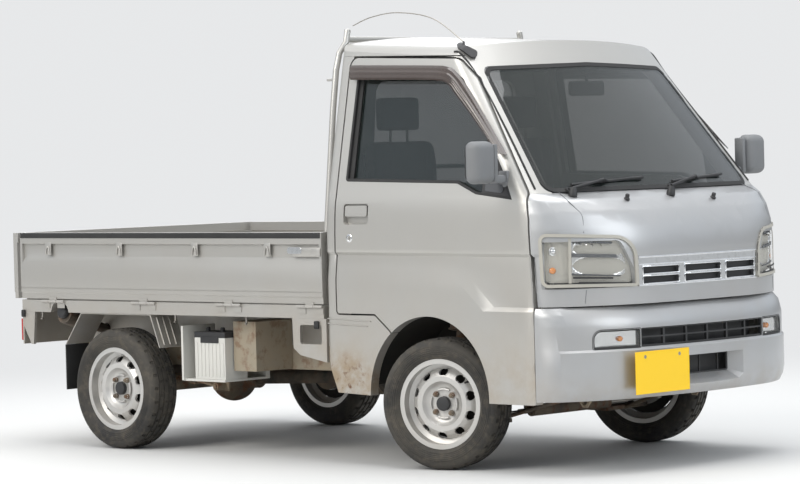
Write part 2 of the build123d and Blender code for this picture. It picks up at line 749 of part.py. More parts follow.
def make_rear_axle():
    mid = track_rear / 2
    beam = cross_rod(rear_axle_x, hub_rear_z, axle_r, -mid + 44, mid - 44)
    beam -= both_cut(block(rear_axle_x - 60, rear_axle_x + 60, spring_y - 31.3, spring_y + 31.3, hub_rear_z + axle_r - 6.3, 400))
    beam += Pos(rear_axle_x, 0, hub_rear_z) * Sphere(105)
    beam += rod((rear_axle_x, 0, hub_rear_z), (rear_axle_x + 165, 0, hub_rear_z + 6), 48)
    for s in (1, -1):
        beam += cross_rod(rear_axle_x, hub_rear_z, 98, s * (mid - 52) - 3, s * (mid - 52) + 3)
        start, end = sorted((s * (mid - 46), s * (mid - 6)))
        beam += cross_rod(rear_axle_x, hub_rear_z, hub_bore_r - seat_gap, start, end)
    return beam


def make_engine():
    block_ = block(320, 790, -210, 210, 225, 600)
    gearbox = rod((321, 0, 320), (60, 0, 310), 120) + rod((70, 0, 300), (-70, 0, 300), 80)
    arms = block(520, 560, 209, front_rail_y - rail_w / 2 - seat_gap, 380, 420)
    return block_ + gearbox + arms + mirrored(arms)


def make_propeller_shaft():
    return rod((-72, 0, 300), (rear_axle_x + 165.5, 0, hub_rear_z + 6), 30)


def make_fuel_tank():
    tank = block(-1600, -1335, -340, 340, 262, rail_low - 2)
    tank += block(-1600, -1335, -340, 340, rail_low - 4, 470) & block(-1598, -1337, -370, 370, 300, 480)
    tank += block(-1590, -1345, -rear_rail_y, rear_rail_y, rail_low - 6, rail_low - seat_gap)
    cap = rod(filler_line(0.98), filler_line(1.16), 38)
    return tank + rod(filler_line(0), filler_line(1), 22) + cap


def filler_line(share):
    start = Vector(-1440, -300, 462)
    end = Vector(filler_x - 8, -640, 563)
    return start + (end - start) * share


def make_battery():
    box = block(-560, -372, -684, -556, 319, 519)
    tray = block(-628, -370, -690, -510, 309, 318.7) + block(-628, -616, -700, -510, 311, 545)
    tray += block(-600, -370, -511, -445, 309, 318.7) + block(-600, -370, -446, -425.3, 309, 420)
    return [box, tray]


def make_exhaust():
    pipe = rod((330, 262, 262), (-180, 262, 262), 22)
    muffler = rod((-160, 262, 262), (-560, 262, 262), 72)
    tail_pipe = rod((-540, 262, 262), (-820, 262, 262), 19)
    hanger = block(-380, -360, 250, 274, 320, 372) + block(-380, -360, 250, rear_rail_y - 25, 366, 378)
    return pipe + muffler + tail_pipe + hanger


# Bed
def make_bed_deck():
    deck = block(bed_back + 2, bed_front - 2, -698, 698, deck_z - deck_t, deck_z - deck_step)
    deck += block(bed_back + 2, bed_front - 25, -698, 698, deck_z - deck_step - 1, deck_z)
    for index in range(7):
        x = bed_back + 60 + index * 298
        deck += block(x - 30, x + 30, -675, 675, rail_bottom, deck_z - deck_t + 1)
    for s in (1, -1):
        y0, y1 = sorted((s * 674, s * rail_face))
        rail = block(bed_back + 2, bed_front - 2, y0, y1, rail_bottom, rail_top)
        if s < 0:
            rail -= cross_rod(filler_x, rail_bottom - 8, 60, -800, -600)
        deck += rail
        y0, y1 = sorted((s * (rear_rail_y - 22), s * (rear_rail_y + 22)))
        deck += block(bed_back + 12, 130, y0, y1, rail_high + seat_gap, rail_bottom + 1)
    return deck - rod(filler_line(0), filler_line(1), 28)


# Side gate on the left, closed: bulged panel, slanted step, recessed band and top rail
def gate_profile(out, band=True):
    inner = out - gate_t
    recess = [(out, 812), (out - 13, 838), (out - 13, 893), (out, 897)] if band else []
    return [(inner, rail_top + gate_gap), (out - 4, rail_top + gate_gap), (out - 4, 676), (out, 682)] + recess + [
        (out, gate_top), (inner - 6, gate_top), (inner - 6, 905), (inner, 900)]


def make_side_gate():
    gate = front_prism(gate_profile(gate_side), bed_back + 6, bed_front)
    for x0 in (bed_back + 6, bed_front - gate_end):
        gate += front_prism(gate_profile(gate_side, False), x0, x0 + gate_end)
    groove = block(bed_back - 10, bed_front + 10, gate_side - 3, gate_side + 5, 697, 702)
    gate -= groove
    gate += block(100, 246, gate_side - 14, gate_side - 1, 848, 884)
    for x in gate_hinges:
        gate += cross_hinge(x, 0)
    return gate


# A hinge: the gate's half is the middle barrel with its leaf, the rail's half is the two end barrels
def cross_hinge(x, part):
    third = hinge_l / 3
    if part == 0:
        barrel = rod((x - third / 2 + 1, gate_side, hinge_z), (x + third / 2 - 1, gate_side, hinge_z), hinge_r, 3.3)
        leaf_ = block(x - third / 2 + 1, x + third / 2 - 1, gate_side - 5, gate_side - 0.5, hinge_z + 4, rail_top + gate_gap + 8)
        return barrel + leaf_
    shape = rod((x - hinge_l / 2, gate_side, hinge_z), (x + hinge_l / 2, gate_side, hinge_z), 3)
    for s in (1, -1):
        x0, x1 = sorted((x + s * (third / 2 + 1), x + s * hinge_l / 2))
        shape += rod((x0, gate_side, hinge_z), (x1, gate_side, hinge_z), hinge_r)
        shape += block(x0, x1, rail_face + seat_gap, gate_side - 2, hinge_z - 6, hinge_z - 1)
        shape += block(x0, x1, rail_face + seat_gap, rail_face + 3, hinge_z - 30, hinge_z - 1)
    return shape


def make_hinge_halves():
    halves = []
    for x in gate_hinges:
        halves += both(cross_hinge(x, 1))
    return halves


def make_tail_gate():
    out = tail_out - hinge_r
    points = [(-x, z) for x, z in gate_profile(out)]
    gate = side_prism(points, -gate_side, gate_side)
    for y0 in (-gate_side, gate_side - gate_end):
        gate += side_prism([(-x, z) for x, z in gate_profile(out, False)], y0, y0 + gate_end)
    for y in tail_hinges:
        gate += tail_hinge(y, 0)
    return gate


def tail_hinge(y, part):
    third = hinge_l / 3
    x = -(tail_out - hinge_r)
    if part == 0:
        barrel = cross_rod(x, hinge_z, hinge_r, y - third / 2 + 1, y + third / 2 - 1, 3.3)
        return barrel + block(x + 0.5, x + 5, y - third / 2 + 1, y + third / 2 - 1, hinge_z + 4, rail_top + gate_gap + 8)
    shape = cross_rod(x, hinge_z, 3, y - hinge_l / 2, y + hinge_l / 2)
    for s in (1, -1):
        y0, y1 = sorted((y + s * (third / 2 + 1), y + s * hinge_l / 2))
        shape += cross_rod(x, hinge_z, hinge_r, y0, y1)
        shape += block(x + 2, bed_back + 6, y0, y1, hinge_z - 6, hinge_z - 1)
        shape += block(bed_back + 4, bed_back + 28, y0, y1, hinge_z - 6, deck_z - deck_t - seat_gap)
    return shape


def make_headboard():
    low = deck_z - deck_step + seat_gap
    panel = block(bed_front - 18, bed_front - 4, -696, 696, low, 925)
    rail = rod((bed_front - 11, -696, 932), (bed_front - 11, 696, 932), 13)
    for y in (-560, -280, 0, 280, 560):
        panel += block(bed_front - 24, bed_front - 10, y - 20, y + 20, low, 925)
    return panel + rail


def make_guard_frame():
    x = bed_front - 11
    line = [(684, 945.3), (630, 1445), (606, 1610), (584, 1680), (545, 1722), (533, guard_top - 6)]
    frame = None
    for index in range(len(line) - 1):
        (y0, z0), (y1, z1) = line[index], line[index + 1]
        piece = rod((x, y0, z0), (x, y1, z1), guard_r)
        frame = piece if frame is None else frame + piece
        if index:
            frame += Pos(x, y0, z0) * Sphere(guard_r)
    frame += Pos(x, 533, guard_top - guard_r) * Sphere(guard_r)
    frame = frame - block(0, 400, 0, 800, guard_top, guard_top + 100) - block(0, 400, 600, 800, 900, 945.3)
    frame += rod((x, 0, 1735), (x, 545, 1735), guard_r)
    hook = rod((x, 612, 1570), (x - 45, 612, 1570), 6)
    frame += hook
    frame += rod((x, 0, 1200), (x, 656, 1200), 10)
    return frame + mirrored(frame)


def make_bed_brackets():
    y0, y1 = rail_face - 14, rail_face
    front = side_prism([(80, rail_bottom - seat_gap), (278, rail_bottom - seat_gap), (278, 413), (123, 440), (84, 468)], y0, y1,
                       [0, 0, 0, 20, 10])
    front -= side_prism([(124, 486), (251, 486), (251, 565), (124, 565)], y0 - 1, y1 + 1, 10)
    front += block(80, 278, y0 - 40, y1, rail_bottom - 12, rail_bottom - seat_gap)
    rear = side_prism([(bed_back + 2, rail_bottom - seat_gap), (-1563, rail_bottom - seat_gap), (-1577, 447), (-1592, 447),
                       (bed_back + 2, 540)], y0, y1)
    panel = block(bed_back + 2, bed_back + 10, 0, y1, 447, rail_bottom - seat_gap)
    rear = rear + panel
    rear = rear + mirrored(rear)
    return both(front) + [rear]


def make_mudguards():
    outside = [(-1362, 452), (-1254, 591.4), (-797, 591.4), (-740, 448)]
    inside = [(-745, 448), (-801, 587.4), (-1251, 587.4), (-1357, 450)]
    arch = side_prism(outside + inside, 575, rail_face - 2)
    return both(arch)


def make_mud_flaps():
    flap = block(-1363, -1357, 590, 722, 250, 450 - seat_gap)
    return both(flap)


def make_tail_lamps():
    lamp = block(bed_back - 24, bed_back + 1.7, 560, 712, 462, 560)
    return both(lamp)


# Bumper and what sits in it
def bumper_block(t, low, high):
    rows = ((low, 24), (low + 28, 7), (low + 60, 0), (478, 0), (487, 9), (575, 9), (622, 24), (high, 54))
    sections = []
    for z, back in rows:
        sections.append(plan_at(z, nose - back - t, bumper_crown - t, bumper_corner - t,
                                bumper_corner_x - back, cab_side - t, 1200, 10))
    return loft(sections, ruled=True)


def make_front_bumper():
    solid = bumper_block(0, bumper_low, bumper_top)
    hollow = bumper_block(bumper_wall, bumper_low - 1, bumper_top - bumper_wall)
    bumper = (solid - hollow) & block(door_front_x + panel_gap + 2, 1800, -800, 800, 200, 700)
    bumper -= block(1200, 1800, -600, 600, 600, 700) & (Pos(-40, 0, 0) * solid)
    bumper -= block(1540, 1565, -475, 475, 630, 660) + both_cut(block(post_x - 1, post_x + 24, 639, 713, 630, 660))
    bumper -= front_prism([(-383, 488), (383, 488), (383, 562), (-383, 562)], 1500, 1800, 6)
    bumper -= both_cut(front_prism(lamp_hole, 1450, 1800, lamp_hole_radii))
    funnel = intake_funnel(0)
    bumper += (intake_funnel(3) - funnel) & solid
    bumper -= funnel
    for y in (plate_y - plate_bolts / 2, plate_y + plate_bolts / 2):
        bumper -= rod((1600, y, plate_bolt_z), (1800, y, plate_bolt_z), plate_bolt_r)
    return bumper


# The lower intake narrows towards the opening behind it
def intake_funnel(grow):
    faces = []
    for x, points in ((1702, intake_points), (intake_back, intake_inner)):
        faces.append(Plane.YZ.offset(x) * offset(make_face(Polyline(*points, close=True)), amount=grow, kind=Kind.INTERSECTION))
    return loft(faces, ruled=True)


def make_bumper_grille():
    slab = bumper_block(6, bumper_low, bumper_top) - bumper_block(bumper_wall + 8, bumper_low - 1, bumper_top - 1)
    upper = slab & front_prism([(-382.7, 488.3), (382.7, 488.3), (382.7, 561.7), (-382.7, 561.7)], 1500, 1800, 6)
    for y in (-320, -192, -64, 64, 192, 320):
        for z in (496, 529):
            upper -= block(1500, 1800, y - 59, y + 59, z, z + 27)
    face = offset(make_face(Polyline(*intake_inner, close=True)), amount=3, kind=Kind.INTERSECTION)
    lower = extrude(Plane.YZ.offset(intake_back - 6.3) * face, 6)
    for y0, y1 in ((-170, -119), (-113, -3), (3, 113), (119, 170)):
        lower -= block(1500, 1800, y0, y1, 368, 434)
    return [upper, lower]


def make_bumper_lamps():
    lamp = (bumper_block(2, bumper_low, bumper_top) - bumper_block(40, bumper_low - 1, bumper_top - 1))
    hole = offset(make_face(closed_line(lamp_hole, lamp_hole_radii)), amount=-seat_gap, kind=Kind.INTERSECTION)
    lamp = lamp & extrude(Plane.YZ.offset(1450) * hole, 350)
    return both(lamp)


def make_number_plate():
    plate = block(nose - 2.2, nose - 0.7, plate_y - 165, plate_y + 165, 308, 473)
    for y in (plate_y - plate_bolts / 2, plate_y + plate_bolts / 2):
        plate += rod((1640, y, plate_bolt_z), (nose - 1.5, y, plate_bolt_z), 9) - bumper_block(-seat_gap, bumper_low, bumper_top)
        plate -= rod((1600, y, plate_bolt_z), (1800, y, plate_bolt_z), plate_bolt_r)
    return plate


# Cab fittings
def screen_point(y, z, out=0):
    reach = nose_reach - hood_r * (1 - cos(radians(hood_turn))) - (z - belt_z) * screen_slope
    crown = cowl_crown - crown_per_mm * (z - belt_z)
    x = reach - crown + sqrt(crown ** 2 - y ** 2)
    scale_ = out / hypot(1, screen_slope)
    return Vector(x + scale_, y, z + scale_ * screen_slope)


def make_wipers():
    wipers = []
    for pivot_y, tip_y in ((-540, -120), (10, 430)):
        pivot = screen_point(pivot_y, belt_z + 4, 16)
        elbow = screen_point(pivot_y + 190, belt_z + 34, 22)
        start = screen_point(pivot_y + 30, belt_z + 24, 10)
        end = screen_point(tip_y, belt_z + 44, 10)
        arm = rod(screen_point(pivot_y, belt_z + 4, 0.5), pivot, 13) + rod(pivot, elbow, 6) + rod(start, end, 6)
        arm += rod(elbow, (start + end) / 2, 6)
        wipers.append(arm - outer)
    return wipers


def make_dashboard():
    body = side_prism([(1300, 760), (1280, 870), (1262, 985), (1285, 1040), (1330, 1052), (1440, 1040), (cowl_x - seat_gap, 1010),
                       (cowl_x - seat_gap, 760)], -636, 636, [10, 0, 20, 20, 0, 0, 0, 0])
    body = body & Pos(-25, 0, 0) * shells[wall]
    body -= rod(column_at(-200), column_at(700), 95)
    return body


def make_seats():
    seats = []
    for y0, y1 in ((-610, -130), (130, 610)):
        cushion = side_prism([(400, seat_base_z + seat_gap), (900, seat_base_z + seat_gap), (930, 740), (890, 790),
                              (400, 770)], y0, y1, [0, 0, 20, 30, 0])
        back = side_prism([(352, 772), (470, 772), (420, 1330), (340, 1330)], y0 + 45, y1 - 45, [0, 10, 40, 20])
        head = side_prism([(338, 1345), (412, 1345), (400, 1500), (345, 1500)], (y0 + y1) / 2 - 120,
                          (y0 + y1) / 2 + 120, 24)
        post = rod((375, (y0 + y1) / 2 - 50, 1320), (375, (y0 + y1) / 2 - 50, 1350), 7)
        post += rod((375, (y0 + y1) / 2 + 50, 1320), (375, (y0 + y1) / 2 + 50, 1350), 7)
        seats.append(cushion + back + head + post)
    return seats


def make_antenna():
    base = rod((915, -562, 1672), (940, -556, 1706), 9)
    line = Spline((928, -559, 1698), (760, -552, 1797), (560, -545, 1832), (400, -538, 1820), (290, -534, 1790))
    bends = Polyline(*[line @ (step / antenna_steps) for step in range(antenna_steps + 1)])
    whip = sweep(Plane(origin=bends @ 0, z_dir=bends % 0) * Circle(antenna_r), path=bends, transition=Transition.RIGHT)
    return (base + whip) - Pos(0, 0, seat_gap) * outer


def build():
    os.makedirs("parts", exist_ok=True)
    save("roof", make_roof())
    save("cab_front", *[largest(s) for s in make_cab_front()])
    save("cab_glass", make_windscreen(), make_rear_window())
    save("front_panel", make_front_panel())
    save("headlamps", *make_headlamps())
    save("grille", make_grille())
    save("cab_sides", *make_cab_sides())
    save("cab_back", make_cab_back())
    save("cab_floor", make_cab_floor())
    left = {"door": make_door(), "door_glass": make_door_glass(), "mirror": make_mirror(), "side_gate": make_side_gate()}
    knuckle = make_knuckle()
    rim, tyre = make_wheel(hub_bore_r)
    axles = (("front", track_front / 2, front_axle_x, hub_z), ("rear", track_rear / 2, rear_axle_x, hub_rear_z))
    for side, sign in (("left", 1), ("right", -1)):
        turn = mirrored if sign < 0 else (lambda shape: shape)
        for name, shape in left.items():
            save(name + "_" + side, turn(shape))
        save("knuckle_" + side, parked(turn(knuckle), sign))
        for axle, mid, x, z in axles:
            for name, solid in (("rim", rim), ("tyre", tyre)):
                placed = turn(Pos(x, mid, z) * solid)
                if axle == "front":
                    placed = parked(placed, sign)
                save(name + "_" + axle + "_" + side, placed)
    save("steering_column", make_steering_column())
    save("steering_wheel", make_steering_wheel())
    save("front_suspension", *make_front_suspension())
    save("rack_bar", make_rack_bar())
    save("chassis_frame", make_chassis())
    save("leaf_springs", *make_leaf_springs())
    save("rear_axle", make_rear_axle())
    save("engine", make_engine())
    save("propeller_shaft", make_propeller_shaft())
    save("fuel_tank", make_fuel_tank())
    save("battery", *make_battery())
    save("exhaust", make_exhaust())
    save("bed_deck", make_bed_deck())
    save("bed_hinges", *make_hinge_halves(), *[tail_hinge(y, 1) for y in tail_hinges])
    save("tail_gate", make_tail_gate())
    save("headboard", make_headboard())
    save("guard_frame", make_guard_frame())
    save("bed_brackets", *make_bed_brackets())
    save("mudguards", *make_mudguards())
    save("mud_flaps", *make_mud_flaps())
    save("tail_lamps", *make_tail_lamps())
    save("front_bumper", make_front_bumper())
    save("bumper_grille", *make_bumper_grille())
    save("bumper_lamps", *make_bumper_lamps())
    save("number_plate", make_number_plate())
    save("wipers", *make_wipers())
    save("dashboard", make_dashboard())
    save("seats", *make_seats())
    save("antenna", make_antenna())


def largest(shape):
    return max(shape.solids(), key=lambda s: s.volume)


if __name__ == "__main__":
    build()
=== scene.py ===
import json
import math
import bmesh
import bpy
from mathutils import Matrix, Vector, geometry
from mathutils.bvhtree import BVHTree


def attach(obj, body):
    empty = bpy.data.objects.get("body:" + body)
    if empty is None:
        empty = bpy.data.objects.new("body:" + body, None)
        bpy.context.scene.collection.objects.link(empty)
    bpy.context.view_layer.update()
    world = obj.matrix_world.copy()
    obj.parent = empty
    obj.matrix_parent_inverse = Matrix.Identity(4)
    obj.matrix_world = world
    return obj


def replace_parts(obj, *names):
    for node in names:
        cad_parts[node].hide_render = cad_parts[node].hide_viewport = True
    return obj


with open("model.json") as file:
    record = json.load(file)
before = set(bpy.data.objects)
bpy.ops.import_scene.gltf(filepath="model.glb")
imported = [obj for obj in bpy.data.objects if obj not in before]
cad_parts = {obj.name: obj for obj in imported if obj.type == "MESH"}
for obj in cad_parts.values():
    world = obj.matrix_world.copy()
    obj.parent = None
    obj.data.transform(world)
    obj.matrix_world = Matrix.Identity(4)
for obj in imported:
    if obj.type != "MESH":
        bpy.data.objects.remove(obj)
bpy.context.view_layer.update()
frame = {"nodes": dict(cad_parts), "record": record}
cadNodes = frame["nodes"]
scene = bpy.context.scene
bodyOf = {node: body for body, members in frame["record"]["behaviour"]["bodies"].items() for node in members}

# Camera, as the photograph was taken
cameraSet = {"place": (9.7831, -10.2186, 1.2903), "azimuth": 43.708, "down": 1.671, "roll": -1.494,
             "lens": 148.0, "sensor": 36.0, "picture": (800, 484)}


def addCamera(spec):
    a, e, r = (math.radians(spec[key]) for key in ("azimuth", "down", "roll"))
    back = Vector((math.sin(a) * math.cos(e), -math.cos(a) * math.cos(e), math.sin(e)))
    level = Vector((math.cos(a), math.sin(a), 0))
    rise = back.cross(level)
    right = math.cos(r) * level + math.sin(r) * rise
    up = -math.sin(r) * level + math.cos(r) * rise
    data = bpy.data.cameras.new("photoCamera")
    data.lens = spec["lens"]
    data.sensor_width = spec["sensor"]
    data.clip_end = 200
    camera = bpy.data.objects.new("photoCamera", data)
    scene.collection.objects.link(camera)
    camera.matrix_world = Matrix.Translation(spec["place"]) @ Matrix((right, up, back)).transposed().to_4x4()
    scene.camera = camera


addCamera(cameraSet)
print("camera placed")


# Small tools for materials
def newMaterial(name, colour, rough, metal=0.0, **sockets):
    mat = bpy.data.materials.new(name)
    mat.use_nodes = True
    bsdf = mat.node_tree.nodes["Principled BSDF"]
    bsdf.inputs["Base Color"].default_value = (*colour, 1)
    bsdf.inputs["Roughness"].default_value = rough
    bsdf.inputs["Metallic"].default_value = metal
    for socket, value in sockets.items():
        bsdf.inputs[socket.replace("_", " ")].default_value = value
    return mat, bsdf


def addNode(mat, kind, sockets=None, **settings):
    node = mat.node_tree.nodes.new("ShaderNode" + kind)
    for key, value in settings.items():
        setattr(node, key, value)
    for key, value in (sockets or {}).items():
        node.inputs[key].default_value = value
    return node


def wire(mat, start, out, end, into):
    mat.node_tree.links.new(start.outputs[out], end.inputs[into])


def objectPoint(mat, scale=(1, 1, 1)):
    mapping = addNode(mat, "Mapping", {"Scale": scale})
    wire(mat, addNode(mat, "TexCoord"), "Object", mapping, "Vector")
    return mapping


def addTexture(mat, kind, sockets, stretch=(1, 1, 1), **settings):
    texture = addNode(mat, "Tex" + kind, sockets, **settings)
    wire(mat, objectPoint(mat, stretch), "Vector", texture, "Vector")
    return texture


def noiseMask(mat, scale, low, high, detail=6.0, stretch=(1, 1, 1)):
    noise = addTexture(mat, "Noise", {"Scale": scale, "Detail": detail, "Roughness": 0.62}, stretch)
    ramp = addNode(mat, "MapRange", {"From Min": low, "From Max": high})
    wire(mat, noise, "Fac", ramp, "Value")
    return ramp


def softStep(mat, source, out, start, end):  # 0 at the start, 1 at the end, eased
    ramp = addNode(mat, "MapRange", {"From Min": start, "From Max": end}, interpolation_type="SMOOTHSTEP")
    wire(mat, source, out, ramp, "Value")
    return ramp


def heightMask(mat, clean, dirty):  # 0 at the clean height, 1 at the dirty one
    split = addNode(mat, "SeparateXYZ")
    wire(mat, objectPoint(mat), "Vector", split, "Vector")
    return softStep(mat, split, "Z", clean, dirty)


def spotMask(mat, centre, reach):  # 1 near the centre, 0 outside the reach
    last = objectPoint(mat)
    for operation, value in (("SUBTRACT", centre), ("DIVIDE", reach)):
        step = addNode(mat, "VectorMath", operation=operation)
        step.inputs[1].default_value = value
        wire(mat, last, "Vector", step, 0)
        last = step
    length = addNode(mat, "VectorMath", operation="LENGTH")
    wire(mat, last, "Vector", length, 0)
    return softStep(mat, length, "Value", 1.0, 0.2)


def multiply(mat, *masks, gain=1.0):
    result = masks[0]
    for mask in masks[1:]:
        step = addNode(mat, "Math", operation="MULTIPLY")
        wire(mat, result, 0, step, 0)
        wire(mat, mask, 0, step, 1)
        result = step
    strength = addNode(mat, "Math", operation="MULTIPLY", use_clamp=True)
    strength.inputs[1].default_value = gain
    wire(mat, result, 0, strength, 0)
    return strength


def layer(mat, bsdf, mask, colour=None, rough=None):
    # Puts a colour and a roughness over what the shader has so far, where the mask is 1
    for socket, value, kind in (("Base Color", colour, "RGBA"), ("Roughness", rough, "FLOAT")):
        if value is None:
            continue
        mix = addNode(mat, "Mix", data_type=kind)
        a, b, out = (6, 7, 2) if kind == "RGBA" else (2, 3, 0)
        into = bsdf.inputs[socket]
        if into.is_linked:
            mat.node_tree.links.new(into.links[0].from_socket, mix.inputs[a])
        else:
            mix.inputs[a].default_value = into.default_value
        mix.inputs[b].default_value = (*value, 1) if kind == "RGBA" else value
        wire(mat, mask, 0, mix, 0)
        mat.node_tree.links.new(mix.outputs[out], into)


def stain(mat, bsdf, noise, gain, colour, rough=None, within=()):
    # Patches of another colour, shaped by noise (scale, low, high, detail) and held within the other masks
    layer(mat, bsdf, multiply(mat, *within, noiseMask(mat, *noise), gain=gain), colour, rough)


def addBump(mat, bsdf, source, out, strength, distance):
    bump = addNode(mat, "Bump", {"Strength": strength, "Distance": distance})
    wire(mat, source, out, bump, "Height")
    wire(mat, bump, "Normal", bsdf, "Normal")


# Finishes
dust = {"colour": (0.36, 0.28, 0.19), "rough": 0.85}
rust = {"colour": (0.17, 0.075, 0.035), "rough": 0.9}


def bodyPaint(name, colour, dustTop, dustLow, dustGain=0.8, spots=(), film=0.22):
    mat, bsdf = newMaterial(name, colour, 0.36, 0.55, Coat_Weight=0.35, Coat_Roughness=0.12)
    stain(mat, bsdf, (1.7, 0.35, 0.7, 4.0), 0.5, [c * 0.93 for c in colour], 0.43)
    stain(mat, bsdf, (3.0, 0.3, 0.75, 8.0, (1, 1, 0.5)), film, dust["colour"], 0.6,
          [heightMask(mat, 1.25, 0.45)])
    low = heightMask(mat, dustTop, dustLow)
    stain(mat, bsdf, (7.0, 0.36, 0.66, 9.0), dustGain, dust["colour"], dust["rough"], [low])
    for centre, reach, gain in spots:
        core = [r * 0.75 for r in reach]
        spot = [spotMask(mat, centre, reach)]
        stain(mat, bsdf, (11.0, 0.38, 0.6, 9.0), gain, dust["colour"], dust["rough"], spot)
        spot = [spotMask(mat, centre, core)]
        stain(mat, bsdf, (26.0, 0.54, 0.66, 8.0), gain, rust["colour"], rust["rough"], spot)
    addBump(mat, bsdf, addTexture(mat, "Noise", {"Scale": 900.0, "Detail": 1.0}), "Fac", 0.02, 0.0004)
    return mat


def underPaint(name, colour, rough, rustGain, dustGain):
    mat, bsdf = newMaterial(name, colour, rough, 0.1)
    stain(mat, bsdf, (5.0, 0.35, 0.7, 8.0), dustGain, dust["colour"], dust["rough"])
    stain(mat, bsdf, (19.0, 0.5, 0.64, 9.0), rustGain, rust["colour"], 0.92)
    addBump(mat, bsdf, addTexture(mat, "Noise", {"Scale": 160.0, "Detail": 5.0}), "Fac", 0.25, 0.0015)
    return mat


def mouldedPlastic(name, colour, rough, fade=0.0, grainScale=420.0, grain=0.12):
    mat, bsdf = newMaterial(name, colour, rough)
    grey = [c + fade * (0.4 - c) for c in colour]
    stain(mat, bsdf, (4.0, 0.35, 0.72, 6.0), 0.5, grey, min(rough + 0.12, 1))
    addBump(mat, bsdf, addTexture(mat, "Voronoi", {"Scale": grainScale}), "Distance", grain, 0.0006)
    return mat


def dustyRubber(name):
    mat, bsdf = newMaterial(name, (0.022, 0.021, 0.02), 0.72)
    stain(mat, bsdf, (6.0, 0.36, 0.68, 9.0), 0.75, (0.085, 0.076, 0.062), 0.88)
    stain(mat, bsdf, (34.0, 0.5, 0.7, 8.0), 0.35, (0.16, 0.135, 0.1), 0.95)
    addBump(mat, bsdf, addTexture(mat, "Noise", {"Scale": 240.0, "Detail": 4.0}), "Fac", 0.2, 0.001)
    return mat


def clearGlass(name, colour, alpha, rough=0.02):
    mat, bsdf = newMaterial(name, colour, rough, Alpha=alpha, Coat_Weight=1.0, Coat_Roughness=0.01)
    stain(mat, bsdf, (9.0, 0.45, 0.8, 8.0), 0.25, [c + 0.03 for c in colour], rough + 0.1)
    return mat


def brightMetal(name, colour, rough, spotting=0.15):
    mat, bsdf = newMaterial(name, colour, rough, 1.0)
    stain(mat, bsdf, (45.0, 0.5, 0.75, 8.0), spotting, (0.25, 0.22, 0.18), 0.6)
    return mat


def wovenCloth(name, colour, thread):
    mat, bsdf = newMaterial(name, colour, 0.92, Sheen_Weight=0.3)
    waves = {"Scale": thread, "Distortion": 0.6, "Detail": 1.0}
    height = addNode(mat, "Math", operation="MULTIPLY")
    for index, axis in enumerate("XY"):
        wire(mat, addTexture(mat, "Wave", waves, bands_direction=axis), "Fac", height, index)
    layer(mat, bsdf, height, [c * 1.5 for c in colour])
    stain(mat, bsdf, (5.0, 0.4, 0.7), 0.4, [c * 0.7 for c in colour])
    addBump(mat, bsdf, height, 0, 0.5, 0.0012)
    return mat


silver = (0.47, 0.46, 0.435)
rustSpots = [((0.40, side, 0.33), (0.26, 0.3, 0.20), gain) for side, gain in ((-0.735, 1.0), (0.735, 0.8))]
finishSpecs = {
    "cabPaint": (bodyPaint, silver, 0.62, 0.30, 0.55, rustSpots),
    "bedPaint": (bodyPaint, silver, 0.72, 0.50, 0.30),
    # Bumper and front panel: the body's silver made cooler and bluer, a painted reflection of sky and shade on
    # the faces that look forward
    "bumperPaint": (bodyPaint, (0.44, 0.45, 0.46), 0.42, 0.26, 0.40),
    "panelPaint": (bodyPaint, (0.45, 0.455, 0.46), 0.40, 0.20, 0.20),
    "wheelPaint": (bodyPaint, (0.58, 0.57, 0.55), 0.42, 0.02, 0.22, (), 0.07),
    "tankPaint": (underPaint, (0.060, 0.050, 0.042), 0.75, 0.55, 0.35),
    "framePaint": (underPaint, (0.30, 0.27, 0.21), 0.7, 0.55, 0.75),
    "underParts": (underPaint, (0.10, 0.085, 0.07), 0.75, 0.8, 0.7),
    "darkUnder": (underPaint, (0.035, 0.033, 0.03), 0.8, 0.35, 0.55),
    "archBlack": (underPaint, (0.010, 0.010, 0.009), 0.85, 0.03, 0.05),
    "tyreRubber": (dustyRubber,),
    "windowGlass": (clearGlass, (0.010, 0.017, 0.016), 0.50),
    "lampGlass": (clearGlass, (0.55, 0.56, 0.54), 0.06),
    "bulbAmber": (clearGlass, (0.75, 0.25, 0.03), 0.9, 0.12),
    "redLens": (clearGlass, (0.42, 0.012, 0.01), 0.93, 0.1),
    "smokeVisor": (clearGlass, (0.045, 0.028, 0.02), 0.86, 0.06),
    "chrome": (brightMetal, (0.78, 0.79, 0.80), 0.10),
    "reflector": (brightMetal, (0.80, 0.80, 0.79), 0.22, 0.05),
    "steelRod": (brightMetal, (0.36, 0.34, 0.31), 0.45, 0.5),
    "lampBody": (mouldedPlastic, (0.42, 0.40, 0.35), 0.4, 0.0, 500.0, 0.05),
    "blackPlastic": (mouldedPlastic, (0.018, 0.018, 0.019), 0.5, 0.1),
    "greyPlastic": (mouldedPlastic, (0.17, 0.175, 0.18), 0.55, 0.15),
    "trimPlastic": (mouldedPlastic, (0.075, 0.078, 0.085), 0.7),
    "softRubber": (mouldedPlastic, (0.015, 0.015, 0.015), 0.7, 0.08),
    "batteryCase": (mouldedPlastic, (0.60, 0.59, 0.55), 0.5, 0.2, 300.0),
    "plateYellow": (mouldedPlastic, (0.95, 0.60, 0.012), 0.42, 0.0, 60.0, 0.03),
    "seatCloth": (wovenCloth, (0.07, 0.07, 0.078), 260.0),
}
finishes = {name: maker(name, *values) for name, (maker, *values) in finishSpecs.items()}
print("finishes made:", len(finishes))

